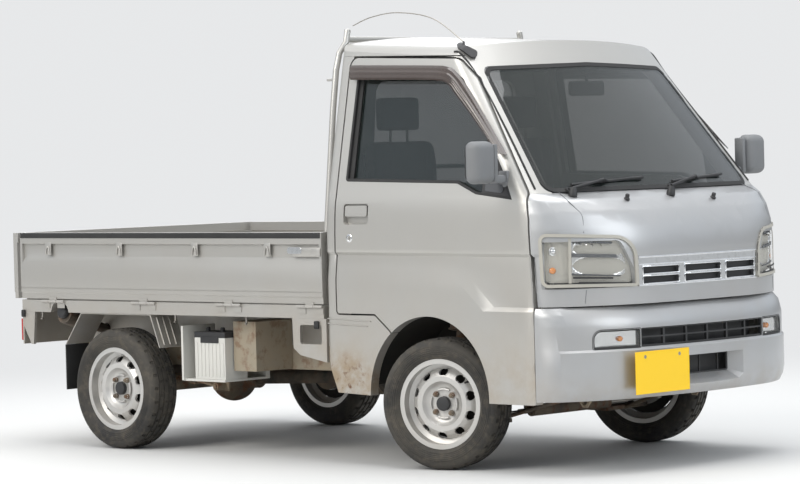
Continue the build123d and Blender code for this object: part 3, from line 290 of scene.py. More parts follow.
nodeFinish = {
    "cabPaint": "roof cab_front cab_sides cab_back door_left door_right",
    # front panel and bumper take the cooler silver with its painted reflection of sky and shade
    "panelPaint": "front_panel",
    "bumperPaint": "front_bumper",
    "bedPaint": "headboard guard_frame bed_brackets bed_hinges bed_deck mudguards side_gate_left "
                "side_gate_right tail_gate",
    "windowGlass": "cab_glass door_glass_left door_glass_right",
    "lampGlass": "headlamps bumper_lamps",
    "redLens": "tail_lamps",
    "chrome": "grille",
    "blackPlastic": "bumper_grille wipers",
    "greyPlastic": "mirror_left mirror_right",
    "trimPlastic": "dashboard steering_column steering_wheel",
    "seatCloth": "seats",
    "plateYellow": "number_plate",
    "framePaint": "chassis_frame",
    "underParts": "front_suspension leaf_springs rear_axle knuckle_left knuckle_right exhaust",
    "tankPaint": "fuel_tank",
    "darkUnder": "engine propeller_shaft",
    "archBlack": "cab_floor",
    "steelRod": "antenna rack_bar",
    "batteryCase": "battery",
    "softRubber": "mud_flaps",
    "wheelPaint": "rim_front_left rim_front_right rim_rear_left rim_rear_right",
    "tyreRubber": "tyre_front_left tyre_front_right tyre_rear_left tyre_rear_right",
}
finishOf = {node: finish for finish, names in nodeFinish.items() for node in names.split()}


def addPiece(name, mesh, node, finish):
    # A piece rides the body of the CAD node that carries it
    mesh.materials.clear()
    mesh.materials.append(finishes[finish])
    piece = bpy.data.objects.new(name, mesh)
    scene.collection.objects.link(piece)
    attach(piece, bodyOf[node])
    return piece


def smoothBy(bm, degrees):
    limit = math.radians(degrees)
    for face in bm.faces:
        face.smooth = True
    for edge in bm.edges:
        edge.smooth = len(edge.link_faces) == 2 and edge.calc_face_angle(0) < limit


def addBevel(piece, width, degrees):
    bevel = piece.modifiers.new("edges", "BEVEL")
    bevel.width = width
    bevel.segments = 2
    bevel.limit_method = "ANGLE"
    bevel.angle_limit = math.radians(degrees)


weldGap = 0.00002


def finishPiece(name, bm, node, finish, smooth=32, thick=0.0, edge=0.0, weld=weldGap, outward=True, levels=0):
    if weld:
        bmesh.ops.remove_doubles(bm, verts=bm.verts, dist=weld)
    if outward:
        bmesh.ops.recalc_face_normals(bm, faces=bm.faces)
    smoothBy(bm, smooth)
    mesh = bpy.data.meshes.new(name)
    bm.to_mesh(mesh)
    bm.free()
    piece = addPiece(name, mesh, node, finish)
    if thick:
        wall = piece.modifiers.new("thickness", "SOLIDIFY")
        wall.thickness = thick
        wall.offset = -1
    if edge:
        addBevel(piece, edge, smooth)
    if levels:
        subdivide = piece.modifiers.new("smooth", "SUBSURF")
        subdivide.levels = levels
        subdivide.render_levels = levels
    return piece


# The side of the cab below its crease lies deeper ahead of the slanted swage
swage = {"creaseTop": (0.354, 0.866), "fall": 0.005, "creaseHigh": 0.0125, "deep": 0.011, "fade": 0.10,
         "start": (0.991, 0.844), "bend": (1.205, 0.654), "wide": 0.045, "lowWide": 0.017,
         "end": (1.430, 1.560), "inner": 0.66, "corner": 1.36}
handle = {"low": (0.415, 0.974), "high": (0.562, 1.066), "inner": 0.70, "back": 0.019}
arch = {"axle": (0.855, 0.290), "radius": 0.322, "near": 0.008}


def between(value, low=0, high=1):
    return min(max(value, low), high)


def swageDepth(x, z):
    top = swage["creaseTop"][1] - swage["fall"] * (x - swage["creaseTop"][0])
    low = top - swage["creaseHigh"]
    if z >= top:
        return 0
    if z > low:
        return swage["deep"] * (top - z) / swage["creaseHigh"]
    behind = swage["deep"] * max(0, 1 - (low - z) / swage["fade"])
    (x0, z0), (x1, z1) = swage["start"], swage["bend"]
    ahead = ((x - x0) * (z0 - z1) + (z - z0) * (x1 - x0)) / math.hypot(x1 - x0, z1 - z0)
    inside = min(max(1 + ahead / swage["wide"], 0), max(1 + (z - z1) / swage["lowWide"], 0), 1)
    return behind + (swage["deep"] - behind) * inside


def carveSide(bm):
    (x0, z0), (x1, z1) = swage["start"], swage["bend"]
    slant = Vector((z0 - z1, 0, x1 - x0)).normalized()
    (startX, top), fall = swage["creaseTop"], Vector((swage["fall"], 0, 1)).normalized()
    low = top - swage["creaseHigh"]
    cuts = [((startX, 0, level), fall) for level in (top, low, low - swage["fade"] / 2, low - swage["fade"])]
    cuts += [(Vector((x0, 0, z0)) - slant * away, slant) for away in (0, swage["wide"])]
    cuts += [((0, 0, z1 - away), Vector((0, 0, 1))) for away in (0, swage["lowWide"])]
    for place, normal in cuts:
        everything = bm.verts[:] + bm.edges[:] + bm.faces[:]
        bmesh.ops.bisect_plane(bm, geom=everything, dist=0.00001, plane_co=place, plane_no=normal)
    bm.normal_update()
    skin = [f for f in bm.faces if abs(f.normal.y) > 0.3 and f.normal.y * f.calc_center_median().y > 0]
    outside = {v for f in skin for v in f.verts if abs(v.co.y) > swage["inner"] and v.co.z < top + 0.004}
    start, end = swage["end"]
    for vert, normal in {v: v.normal.copy() for v in outside}.items():
        away = Vector((0, math.copysign(1, vert.co.y), 0))
        if vert.co.x >= swage["corner"]:
            away = Vector((normal.x, normal.y, 0)).normalized()
        share = between((vert.co.x - start) / (end - start))
        vert.co -= away * swageDepth(vert.co.x, vert.co.z) * (1 - share)
    (x0, z0), (x1, z1) = handle["low"], handle["high"]
    for vert in bm.verts:  # the handle and its pocket sit a little further back than in the solid
        if x0 < vert.co.x < x1 and z0 < vert.co.z < z1 and abs(vert.co.y) > handle["inner"]:
            vert.co.x -= handle["back"]


def darkenArch(bm):  # the cut edge of the wheel arch takes the second material
    for face in bm.faces:
        middle = face.calc_center_median()
        away = math.hypot(middle.x - arch["axle"][0], middle.z - arch["axle"][1])
        if abs(face.normal.y) < 0.3 and abs(away - arch["radius"]) < arch["near"]:
            face.material_index = 1


def dressNode(node, bevel):  # a merged, softly edged copy stands for the plain solid
    carved = node in ("door_left", "door_right", "cab_sides", "front_panel")
    degrees = 14 if carved and node != "front_panel" else 32
    bm = bmesh.new()
    bm.from_mesh(cadNodes[node].data)
    bmesh.ops.remove_doubles(bm, verts=bm.verts, dist=weldGap)
    bmesh.ops.dissolve_limit(bm, angle_limit=math.radians(0.4), verts=bm.verts, edges=bm.edges)
    if carved:
        carveSide(bm)
        darkenArch(bm)
    piece = finishPiece(node + ".dressed", bm, node, finishOf[node], degrees, edge=bevel, weld=0,
                        outward=False)
    if carved:
        piece.data.materials.append(finishes["archBlack"])
    if bevel:
        piece.modifiers["edges"].harden_normals = True
    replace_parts(piece, node)


mergedNodes = "cab_front cab_floor cab_glass grille bumper_grille wipers"
roundedNodes = (
    "roof cab_sides cab_back door_left door_right front_panel front_bumper headboard guard_frame "
    "bed_brackets mudguards side_gate_left side_gate_right tail_gate door_glass_left door_glass_right tail_lamps "
    "dashboard steering_column steering_wheel number_plate chassis_frame battery fuel_tank engine "
    "rim_front_left rim_front_right rim_rear_left rim_rear_right")
for node in sorted(cadNodes):
    if node in roundedNodes.split():
        dressNode(node, 0.0018)
    elif node in mergedNodes.split():
        dressNode(node, 0)
    else:
        cadNodes[node].data.materials.clear()
        cadNodes[node].data.materials.append(finishes[finishOf[node]])
print("nodes dressed")


# Tools for shapes
def corners(low, high):  # a rectangle as an outline
    return [low, (high[0], low[1]), high, (low[0], high[1])]


def outlineFace(bm, points, radii, plane="side"):
    # A flat face through the points, with its corners rounded. side: x and z, front: y and z, plan: x and y
    places = {"side": lambda a, b: (a, 0, b), "front": lambda a, b: (0, a, b), "plan": lambda a, b: (a, b, 0)}
    verts = [bm.verts.new(places[plane](a, b)) for a, b in points]
    bm.faces.new(verts)
    slides = []
    for index, (vert, radius) in enumerate(zip(verts, radii)):
        before, after = verts[index - 1].co - vert.co, verts[(index + 1) % len(verts)].co - vert.co
        slides.append(radius / math.tan(before.angle(after) / 2) if radius else 0)
    for vert, slide in zip(verts, slides):
        if slide:
            bmesh.ops.bevel(bm, geom=[vert], offset=slide, offset_type="OFFSET", affect="VERTICES",
                            segments=6, profile=0.5, material=-1)


def refine(bm, spacing):
    for _ in range(5):
        longEdges = [e for e in bm.edges if e.calc_length() > spacing]
        if not longEdges:
            break
        bmesh.ops.subdivide_edges(bm, edges=longEdges, cuts=1, use_grid_fill=True)


def fineFace(bm, points, radii, spacing, plane="side", ring=0, triangles=True):
    # The outline as a fine mesh, or as a ring of that width inside it
    outlineFace(bm, points, radii, plane)
    if ring:
        bmesh.ops.inset_region(bm, faces=bm.faces[:], thickness=ring, use_even_offset=True, use_boundary=True)
        bmesh.ops.delete(bm, geom=[max(bm.faces, key=lambda f: len(f.verts))], context="FACES")
    if triangles:
        bmesh.ops.triangulate(bm, faces=bm.faces[:])
    refine(bm, spacing)


def addBlock(bm, low, high, edge, segments=2):
    centre = [(a + b) / 2 for a, b in zip(low, high)]
    size = [abs(b - a) for a, b in zip(low, high)]
    place = Matrix.Translation(centre) @ Matrix.Diagonal((*size, 1))
    made = bmesh.ops.create_cube(bm, size=1.0, matrix=place)["verts"]
    edges = {e for v in made for e in v.link_edges}
    bmesh.ops.bevel(bm, geom=list(edges), offset=edge, offset_type="OFFSET", affect="EDGES",
                    segments=segments, profile=0.5, material=-1)


def blocks(*specs):  # builds blocks, each from its low and high corner and its rounded edge
    def build(bm):
        for spec in specs:
            addBlock(bm, *spec)
    return build


def rowOf(low, high, edge, step, count):  # the same block again and again, a step apart
    moves = [Vector(step) * index for index in range(count)]
    return [(Vector(low) + move, Vector(high) + move, edge) for move in moves]


def sweepRing(bm, path, radius, sides=8, flat=1.0, closed=False):
    # A round section carried along the path; flat squeezes it
    points = [Vector(p) for p in path]
    places = []
    turn = None
    for index, point in enumerate(points):
        before = points[index] - points[index - 1] if index or closed else points[1] - points[0]
        after = points[(index + 1) % len(points)] - point if index < len(points) - 1 or closed else before
        along = (before.normalized() + after.normalized()).normalized()
        if turn is None:
            turn = along.to_track_quat("Z", "Y")
        else:
            turn = (turn @ Vector((0, 0, 1))).rotation_difference(along) @ turn
        squeezed = turn.to_matrix().to_4x4() @ Matrix.Diagonal((1, flat, 1, 1))
        places.append(Matrix.Translation(point) @ squeezed)
    ring = bmesh.ops.create_circle(bm, segments=sides, radius=radius, matrix=places[0])["verts"]
    first = edges = list({e for v in ring for e in v.link_edges})
    if not closed:
        bmesh.ops.edgeloop_fill(bm, edges=edges)
    for last, place in zip(places, places[1:]):
        grown = bmesh.ops.extrude_edge_only(bm, edges=edges)["geom"]
        verts = [g for g in grown if isinstance(g, bmesh.types.BMVert)]
        bmesh.ops.transform(bm, matrix=place @ last.inverted(), verts=verts)
        edges = [g for g in grown if isinstance(g, bmesh.types.BMEdge) and all(v in verts for v in g.verts)]
    if closed:
        bmesh.ops.bridge_loops(bm, edges=edges + first)
    else:
        bmesh.ops.edgeloop_fill(bm, edges=edges)


def smoothPath(points, steps=6):  # a curve through the points, by Blender's own Bezier
    bends = [Vector(p) for p in points]
    line = [bends[0]]
    for index in range(len(bends) - 1):
        a, b = bends[index], bends[index + 1]
        before = bends[index - 1] if index else a
        after = bends[index + 2] if index + 2 < len(bends) else b
        line += geometry.interpolate_bezier(a, a + (b - before) / 6, b - (after - a) / 6, b, steps + 1)[1:]
    return line


def linkedTo(seeds):
    found, queue = set(seeds), list(seeds)
    while queue:
        for edge in queue.pop().link_edges:
            for vert in edge.verts:
                if vert not in found:
                    found.add(vert)
                    queue.append(vert)
    return found


def lathe(bm, profile, place, steps=32):
    # The profile is (radius, height) pairs, turned about Z and then placed by the matrix
    verts = [bm.verts.new((r, 0, h)) for r, h in profile]
    edges = [bm.edges.new(pair) for pair in zip(verts, verts[1:])]
    bmesh.ops.spin(bm, geom=verts + edges, cent=(0, 0, 0), axis=(0, 0, 1), angle=math.tau, steps=steps,
                   use_merge=True)
    bmesh.ops.transform(bm, matrix=place, verts=list(linkedTo(verts)))


def facing(place, direction):  # puts a shape made along Z at a place, facing a direction
    return Matrix.Translation(place) @ Vector(direction).to_track_quat("Z", "Y").to_matrix().to_4x4()


def turned(spec):  # builds a lathe's shape from its profile, place, direction and number of steps
    return lambda bm: lathe(bm, spec["profile"], facing(spec["place"], spec["facing"]), spec["steps"])


def mirror(bm, parts):  # turns the parts into their mirror image across the truck's middle
    bmesh.ops.scale(bm, vec=(1, -1, 1), verts=[g for g in parts if isinstance(g, bmesh.types.BMVert)])
    bmesh.ops.reverse_faces(bm, faces=[g for g in parts if isinstance(g, bmesh.types.BMFace)])


def mirrored(build):
    def buildMirrored(bm):
        build(bm)
        mirror(bm, bm.verts[:] + bm.faces[:])
    return buildMirrored


def onePiece(name, build, node, finish, **settings):
    bm = bmesh.new()
    build(bm)
    return finishPiece(name, bm, node, finish, **settings)


def pairPiece(name, build, node, finish, **settings):
    # One piece for both sides: made on the right, with its mirror image on the left
    def buildPair(bm):
        build(bm)
        mirror(bm, bmesh.ops.duplicate(bm, geom=bm.verts[:] + bm.edges[:] + bm.faces[:])["geom"])
    return onePiece(name, buildPair, node, finish, **settings)


def onBothSides(name, build, node, finish, **settings):
    # The same piece on the right and, mirrored, on the left; SIDE stands for the side in the node's name
    return {side: onePiece(name + side.title(), make, node.replace("SIDE", side), finish, **settings)
            for side, make in (("right", build), ("left", mirrored(build)))}


trees = {}


def treeOf(node):
    if node not in trees:
        bm = bmesh.new()
        bm.from_mesh(cadNodes[node].data)
        trees[node] = BVHTree.FromBMesh(bm)
        bm.free()
    return trees[node]


def strike(start, direction, nodes):  # where a line first meets the nodes, and the surface's direction there
    best = None
    for node in nodes.split():
        spot, normal, _, away = treeOf(node).ray_cast(start, direction.normalized())
        if spot is not None and (best is None or away < best[2]):
            best = (spot, normal if normal.dot(direction) < 0 else -normal, away)
    return best


frontNodes = (
    "front_panel front_bumper headlamps bumper_lamps grille cab_front cab_glass door_right door_left wipers "
    "bumper_grille cab_floor roof")


def firstStrike(start, direction, nodes):
    # In the fine gap between two pieces the line passes both, so it is shifted a little and tried again
    start, direction = Vector(start), Vector(direction)
    for shift in (0, 0.0015, -0.0015, 0.004, -0.004, 0.008, -0.008):
        move = Vector((0, shift, shift * 0.5))
        found = strike(start + move, direction, nodes) or strike(start + move, direction, frontNodes)
        if found:
            return found[0] - move, found[1]


def onFront(y, z, nodes, out=0.0):
    spot, normal = firstStrike((3, y, z), (-1, 0, 0), nodes)
    return spot + normal * out


def pixelRay(px, py):  # the line of sight through a point of the photograph
    rows = scene.camera.matrix_world.to_3x3()
    width, height = cameraSet["picture"]
    reach = cameraSet["lens"] / cameraSet["sensor"] * width
    return (rows @ Vector(((px - width / 2) / reach, (height / 2 - py) / reach, -1))).normalized()


def atPixel(px, py, nodes, out=0.0):
    spot, normal = firstStrike(cameraSet["place"], pixelRay(px, py), nodes)
    return spot + normal * out


def pixelPatch(bm, points, radii, nodes, out, spacing=3.0, ring=0.0):
    # A patch drawn on the photograph, laid on the nodes; out is its height, or a function that gives it
    fineFace(bm, points, radii, spacing, "plan", ring)
    for vert in bm.verts:
        px, py = vert.co.x, vert.co.y
        vert.co = atPixel(px, py, nodes, out(px, py) if callable(out) else out)


def sheet(bm, across, up, place):
    made = bmesh.ops.create_grid(bm, x_segments=across, y_segments=up, size=1)["verts"]
    for vert in made:
        vert.co = place((vert.co.x + 1) / 2, (vert.co.y + 1) / 2)


print("shape tools ready")


# Sides of the cab, worked out on the right side, which the photograph shows
skin = {"waist": 1.092, "upper": 0.720, "lean": 0.1916, "lower": 0.735, "tuck": 0.015, "foot": 0.88,
        "tall": 0.212}


def skinY(z):  # half the cab's width at a height
    if z >= skin["waist"]:
        return skin["upper"] - skin["lean"] * (z - skin["waist"])
    return skin["lower"] - skin["tuck"] * between((z - skin["foot"]) / skin["tall"]) ** 2


def toSkin(bm, out):  # lays a flat side outline on the right side's skin
    for vert in bm.verts:
        vert.co.y = -(skinY(vert.co.z) + out)


def alongView(x, z, y, out):  # where the line of sight through a point meets the cab's side
    eye, point = Vector(cameraSet["place"]), Vector((x, y, z))
    for _ in range(6):
        ray = point - eye
        point = eye + ray * ((-(skinY(point.z) + out) - eye.y) / ray.y)
    return point


def along(points, share):
    lengths = [(b - a).length for a, b in zip(points, points[1:])]
    left = share * sum(lengths)
    for a, b, size in zip(points, points[1:], lengths):
        if left <= size or b is points[-1]:
            return a.lerp(b, min(left / size, 1))
        left -= size


visor = {
    "top": ((0.414, 1.623), (0.871, 1.606), (0.942, 1.599), (0.989, 1.582), (1.072, 1.492), (1.253, 1.245)),
    "low": ((0.408, 1.564), (0.869, 1.548), (0.948, 1.526), (0.985, 1.488), (1.063, 1.409), (1.196, 1.255)),
    "topOut": 0.004, "lowOut": 0.030, "start": -0.68, "thick": 0.003, "ribs": 3, "ribDeep": 0.0022,
    "bow": 0.006, "parts": (60, 16),
}


def buildVisor(bm):
    top, low = (smoothPath([alongView(x, z, visor["start"], visor[edge + "Out"]) for x, z in visor[edge]], 4)
                for edge in ("top", "low"))

    def place(u, v):
        rib = visor["ribDeep"] * (0.5 + 0.5 * math.cos(2 * math.pi * visor["ribs"] * v))
        bow = visor["bow"] * math.sin(math.pi * v)
        return along(low, u).lerp(along(top, u), v) + Vector((0, rib - bow, 0))
    sheet(bm, *visor["parts"], place)


window = {
    "outline": [(0.396, 1.152), (1.014, 1.137), (1.118, 1.094), (1.312, 1.071), (1.246, 1.190),
                (0.992, 1.548), (0.920, 1.594), (0.400, 1.614)],
    "radii": [0.014, 0.02, 0.02, 0.0, 0.0, 0.0, 0.04, 0.03], "ring": 0.011, "out": 0.0015,
    "rear": {"x": 0.404, "wide": 0.026, "z": 1.16, "tall": 0.435},
    "sill": {"x": 0.41, "long": 0.6, "z": 1.150, "fall": 0.015, "tall": 0.014, "skin": 1.146}, "deep": 0.010,
}


def buildWindowRubber(bm):
    fineFace(bm, window["outline"], window["radii"], 0.05, ring=window["ring"], triangles=False)
    toSkin(bm, window["out"])


def buildWindowChannel(bm):  # the channels that the glass runs in, behind the pane's rear and lower edges
    rear, sill = window["rear"], window["sill"]

    def placeRear(u, v):
        z = rear["z"] + rear["tall"] * v
        return Vector((rear["x"] + rear["wide"] * u, window["deep"] - skinY(z), z))

    def placeSill(u, v):
        z = sill["z"] - sill["fall"] * u + sill["tall"] * v
        return Vector((sill["x"] + sill["long"] * u, window["deep"] - skinY(sill["skin"]), z))
    sheet(bm, 1, 8, placeRear)
    sheet(bm, 10, 1, placeSill)


lock = {"place": (0.433, -0.7335, 0.922), "facing": (0, -1, 0), "steps": 28,
        "profile": [(0, 0.0005), (0.009, 0.0005), (0.0105, 0.0022), (0.0145, 0.0022), (0.0162, 0.0010),
                    (0.0165, -0.004), (0.0, -0.004)],
        "slot": ((0.4320, -0.7352, 0.9175), (0.4340, -0.7340, 0.9265), 0.0004)}
onBothSides("windowVisor", buildVisor, "door_SIDE", "smokeVisor", thick=visor["thick"], outward=False,
            smooth=40)
onBothSides("windowRubber", buildWindowRubber, "door_SIDE", "softRubber", thick=0.012, edge=0.002)
onBothSides("windowChannel", buildWindowChannel, "door_SIDE", "softRubber", thick=0.006, edge=0.001, weld=0)
onBothSides("doorLock", turned(lock), "door_SIDE", "chrome", smooth=40)
onBothSides("doorLockSlot", blocks(lock["slot"]), "door_SIDE", "blackPlastic")

drip = {"line": ((0.915, 1.658), (0.951, 1.648), (1.043, 1.548), (1.180, 1.345), (1.323, 1.108)), "y": -0.600,
        "nodes": "cab_front roof door_right cab_glass", "out": 0.001, "radius": 0.0042}
seam = {"lines": (((558.0, 191.5), (567, 200), (576, 208.5), (582.3, 216.5), (583.7, 233.0)),
                  ((586.5, 290.0), (585.3, 303.6))), "radius": 0.0015}
sillRib = {"lines": ((0.595, 0.545), (0.575, 0.527)), "start": 0.300, "y": -0.7335, "fall": 0.008,
           "radius": 0.0055, "flat": 0.55}


def buildDrip(bm):
    eye = Vector(cameraSet["place"])
    path = []
    for x, z in drip["line"]:
        spot, normal = firstStrike(eye, Vector((x, drip["y"], z)) - eye, drip["nodes"])
        path.append(spot + normal * drip["out"])
    sweepRing(bm, smoothPath(path, 5), drip["radius"])


def buildCornerSeam(bm):
    for pixels in seam["lines"]:
        path = [atPixel(px, py, "front_panel cab_front") for px, py in pixels]
        sweepRing(bm, smoothPath(path, 5), seam["radius"], 6)


def buildSillRibs(bm):
    for z, end in sillRib["lines"]:
        a, b = Vector((sillRib["start"], sillRib["y"], z)), Vector((end, sillRib["y"], z - sillRib["fall"]))
        sweepRing(bm, [a.lerp(b, i / 6) for i in range(7)], sillRib["radius"], 10, sillRib["flat"])


onBothSides("dripRail", buildDrip, "roof", "softRubber")
onBothSides("cornerSeam", buildCornerSeam, "front_panel", "greyPlastic", weld=0)
onBothSides("sillRibs", buildSillRibs, "cab_sides", "cabPaint")
print("cab sides detailed")


# Mirrors: a rounded housing, its bracket and the black base in the window's corner
mirrorSet = {
    "low": (1.234, -0.916, 1.132), "high": (1.305, -0.788, 1.304), "round": 0.030,
    "middle": (-0.850, 1.218), "taper": (0.14, 0.10),
    "glass": ((-0.902, 1.146), (-0.798, 1.290)), "glassRound": 0.022, "glassOut": 0.0012,
    "arm": (((1.240, -0.789, 1.140), (1.286, -0.768, 1.288), 0.006),
            ((1.232, -0.772, 1.136), (1.276, -0.700, 1.168), 0.007),
            ((1.236, -0.716, 1.118), (1.282, -0.699, 1.184), 0.006)),
    "base": ([(1.150, 1.0865), (1.312, 1.0715), (1.246, 1.190), (1.150, 1.325)], [0.004, 0.022, 0, 0.004]),
    "panel": ([(1.168, 1.106), (1.272, 1.096), (1.232, 1.176), (1.168, 1.262)], [0.008, 0.016, 0.01, 0.008]),
    "panelOut": 0.0035, "spacing": 0.03,
}


def buildMirrorHousing(bm):
    low, high, (y, z) = mirrorSet["low"], mirrorSet["high"], mirrorSet["middle"]
    addBlock(bm, low, high, mirrorSet["round"], 5)
    for vert in bm.verts:
        share = (vert.co.x - low[0]) / (high[0] - low[0])
        vert.co.y = y + (vert.co.y - y) * (1 - mirrorSet["taper"][0] * share)
        vert.co.z = z + (vert.co.z - z) * (1 - mirrorSet["taper"][1] * share)


def buildMirrorGlass(bm):
    outlineFace(bm, corners(*mirrorSet["glass"]), [mirrorSet["glassRound"]] * 4, "front")
    bmesh.ops.translate(bm, vec=(mirrorSet["low"][0] - mirrorSet["glassOut"], 0, 0), verts=bm.verts)


def sail(part, out):
    def build(bm):
        fineFace(bm, *mirrorSet[part], mirrorSet["spacing"])
        toSkin(bm, out)
    return build


housings = onBothSides("mirrorHousing", buildMirrorHousing, "mirror_SIDE", "greyPlastic", smooth=60)
onBothSides("mirrorGlass", buildMirrorGlass, "mirror_SIDE", "chrome", outward=False)
onBothSides("mirrorArm", blocks(*mirrorSet["arm"]), "mirror_SIDE", "greyPlastic")
onBothSides("mirrorBase", sail("base", 0), "mirror_SIDE", "blackPlastic", thick=0.024, edge=0.003,
            outward=False)
onBothSides("mirrorPanel", sail("panel", mirrorSet["panelOut"]), "mirror_SIDE", "trimPlastic", thick=0.006,
            edge=0.002, outward=False)
for side, housing in housings.items():
    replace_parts(housing, "mirror_" + side)
print("mirrors detailed")


# Front: the lamps are placed on the lens where the photograph shows each edge, then mirrored
lens = {"centre": 1.2, "skin": 0.35, "thick": 0.0025}
lamp = {
    "outline": ([(538.0, 233.8), (636.0, 235.4), (638.6, 286.2), (541.6, 288.2)], [8, 23, 1.5, 8]),
    "back": ([(541.5, 238), (632, 240), (634, 282), (544.5, 283.5)], [6, 18, 2, 6]),
    "main": ([(571.6, 240.6), (607, 241.5), (626.4, 256), (627, 274.6), (571.6, 275.4)], [1.5, 6, 9, 3, 1]),
    "divider": ([(568.2, 238.6), (571.0, 238.6), (571.6, 283.6), (568.8, 283.6)], [0] * 4),
    "slots": [corners((573, 277.0), (613, 278.8)), corners((578.5, 282.0), (628.5, 284.2))],
    # painted shade: dark bars on the reflector where it lies in shade
    "paintedShade": [[(571.0, 240.0), (613.5, 241.4), (612.5, 243.6), (571.0, 242.4)],
              [(571.0, 253.6), (617, 254.2), (619, 257.8), (571.0, 257.4)],
              [(571.0, 273.6), (622, 275.2), (622, 276.4), (571.0, 275.4)]],
    "bars": 0.6, "columnEnd": 568, "deep": 0.020, "rib": (0.0012, 2.6),
    "bowls": ((600, 249, 26, 8.5), (601, 266, 27, 9.5)), "edge": 0.014, "bowlDeep": 0.026,
    "flute": (0.0012, 3.0), "facing": (1, -0.55, 0.02),
    "bulb": ((1, 0), (1, 0.55), (0.86, 0.85), (0.5, 1), (0, 1)), "bulbDeep": 0.0195,
    "bowl": ((0.45, -0.001), (0.8, 0.001), (1, 0.0035), (1.08, 0.0035), (1.1, 0)), "bowlBack": 0.0185,
}
lampScrew = {"at": (548.3, 284.2), "out": 0.001, "facing": (1, -0.7, 0), "steps": 20,
             "profile": [(0.0062, -0.004), (0.0062, 0.0), (0.005, 0.0022), (0.0028, 0.0022), (0.0022, 0.0),
                         (0, 0.0)]}


def ripple(px, size):
    deep, pitch = size
    return deep * math.cos(2 * math.pi * px / pitch)


def backDepth(px, py):  # the moulded body behind the lens, ribbed in its outer column
    return (ripple(px, lamp["rib"]) if px < lamp["columnEnd"] else 0) - lamp["deep"]


def bowlDepth(px, py):  # two shallow bowls, one for each beam, with fine upright flutes
    bowls = [1 - ((px - x) / wide) ** 2 - ((py - y) / tall) ** 2 for x, y, wide, tall in lamp["bowls"]]
    return ripple(px, lamp["flute"]) - lamp["edge"] - lamp["bowlDeep"] * math.sqrt(max(0, *bowls))


def lampPatch(part, out, spacing, ring=0, nodes="headlamps"):
    return lambda bm: pixelPatch(bm, *lamp[part], nodes, out, spacing, ring)


def lampBars(part, out, spacing):
    def build(bm):
        for points in lamp[part]:
            bar = bmesh.new()
            pixelPatch(bar, points, [lamp["bars"]] * 4, "headlamps", out, spacing)
            mesh = bpy.data.meshes.new(part)
            bar.to_mesh(mesh)
            bar.free()
            bm.from_mesh(mesh)
            bpy.data.meshes.remove(mesh)
    return build


def lampRound(px, py, deep, profile, steps, facingTo=lamp["facing"]):
    def build(bm):
        lathe(bm, profile, facing(atPixel(px, py, "headlamps front_panel grille", -deep), facingTo), steps)
    return build


def bulbAt(px, py, radius, height):
    return lampRound(px, py, lamp["bulbDeep"], [(radius * r, height * h) for r, h in lamp["bulb"]], 24)


def bowlAt(px, py, radius):
    return lampRound(px, py, lamp["bowlBack"], [(radius * r, h) for r, h in lamp["bowl"]], 32)


for node in ("headlamps", "bumper_lamps"):  # only the outer skin is shown, as clear glass over the parts
    bm = bmesh.new()
    bm.from_mesh(cadNodes[node].data)
    bmesh.ops.remove_doubles(bm, verts=bm.verts, dist=weldGap)
    inner = []
    for face in bm.faces:
        middle = face.calc_center_median()
        if face.normal.dot(Vector((middle.x - lens["centre"], middle.y, 0)).normalized()) < lens["skin"]:
            inner.append(face)
    bmesh.ops.delete(bm, geom=inner, context="FACES")
    skinPiece = finishPiece(node + "Lens", bm, node, "lampGlass", outward=False, thick=lens["thick"], weld=0)
    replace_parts(skinPiece, node)

pairPiece("lampBack", lampPatch("back", backDepth, 1.2), "headlamps", "lampBody", outward=False, thick=0.002)
pairPiece("lampReflector", lampPatch("main", bowlDepth, 0.6), "headlamps", "reflector", outward=False,
          smooth=60)
# Painted shade: dark bars above, between and below the two beams, where the reflector lies in shade; then the
# pale surround inside the lamp's outline
pairPiece("lampPaintedShade", lampBars("paintedShade", -0.009, 2.0), "headlamps", "trimPlastic", outward=False, thick=0.002)
pairPiece("lampFrame", lampPatch("outline", 0.0009, 2.0, 3.2, "headlamps front_panel"), "headlamps",
          "lampBody", outward=False, thick=0.006, edge=0.0008)
# A black ring along the lamp's outline: painted shadow in the gap between lamp and front panel
pairPiece("lampGapShadow", lampPatch("outline", 0.0030, 2.0, 1.2, "headlamps front_panel"), "front_panel",
          "softRubber", outward=False, thick=0.003, edge=0.0006)
pairPiece("lampSlots", lampBars("slots", 0.0016, 3.0), "headlamps", "blackPlastic", outward=False,
          thick=0.002)
pairPiece("lampBulbBowls", bowlAt(552.3, 251.6, 0.0155), "headlamps", "reflector", smooth=50)
pairPiece("lampBulbs", bulbAt(552.3, 251.6, 0.0105, 0.014), "headlamps", "chrome", smooth=60)
pairPiece("turnBulbs", bulbAt(552.0, 271.0, 0.0125, 0.014), "headlamps", "bulbAmber", smooth=60)
buildLampScrew = lampRound(*lampScrew["at"], -lampScrew["out"], lampScrew["profile"], lampScrew["steps"],
                           lampScrew["facing"])
pairPiece("lampScrews", buildLampScrew, "headlamps", "blackPlastic")
# The seam between the outer column and the headlamp
pairPiece("lampDivider", lampPatch("divider", -0.002, 4.0), "headlamps", "lampBody", outward=False,
          thick=0.003)

bumperLamp = {
    "back": ((-0.585, 0.495), (-0.391, 0.555)), "backRadii": [0.005, 0.005, 0.005, 0.03], "deep": 0.016,
    "bowl": {"y": -0.475, "half": 0.085, "deep": 0.012},
    "rim": ((-0.594, 0.486), (-0.382, 0.564)), "rimRadii": [0.008, 0.008, 0.008, 0.036], "rimWide": 0.0095,
    "rimOut": 0.0006, "bulb": (-0.470, 0.524), "bulbDeep": 0.026, "facing": (1, -0.2, 0),
    "profile": [(0.011, 0), (0.011, 0.008), (0.008, 0.013), (0, 0.014)],
}


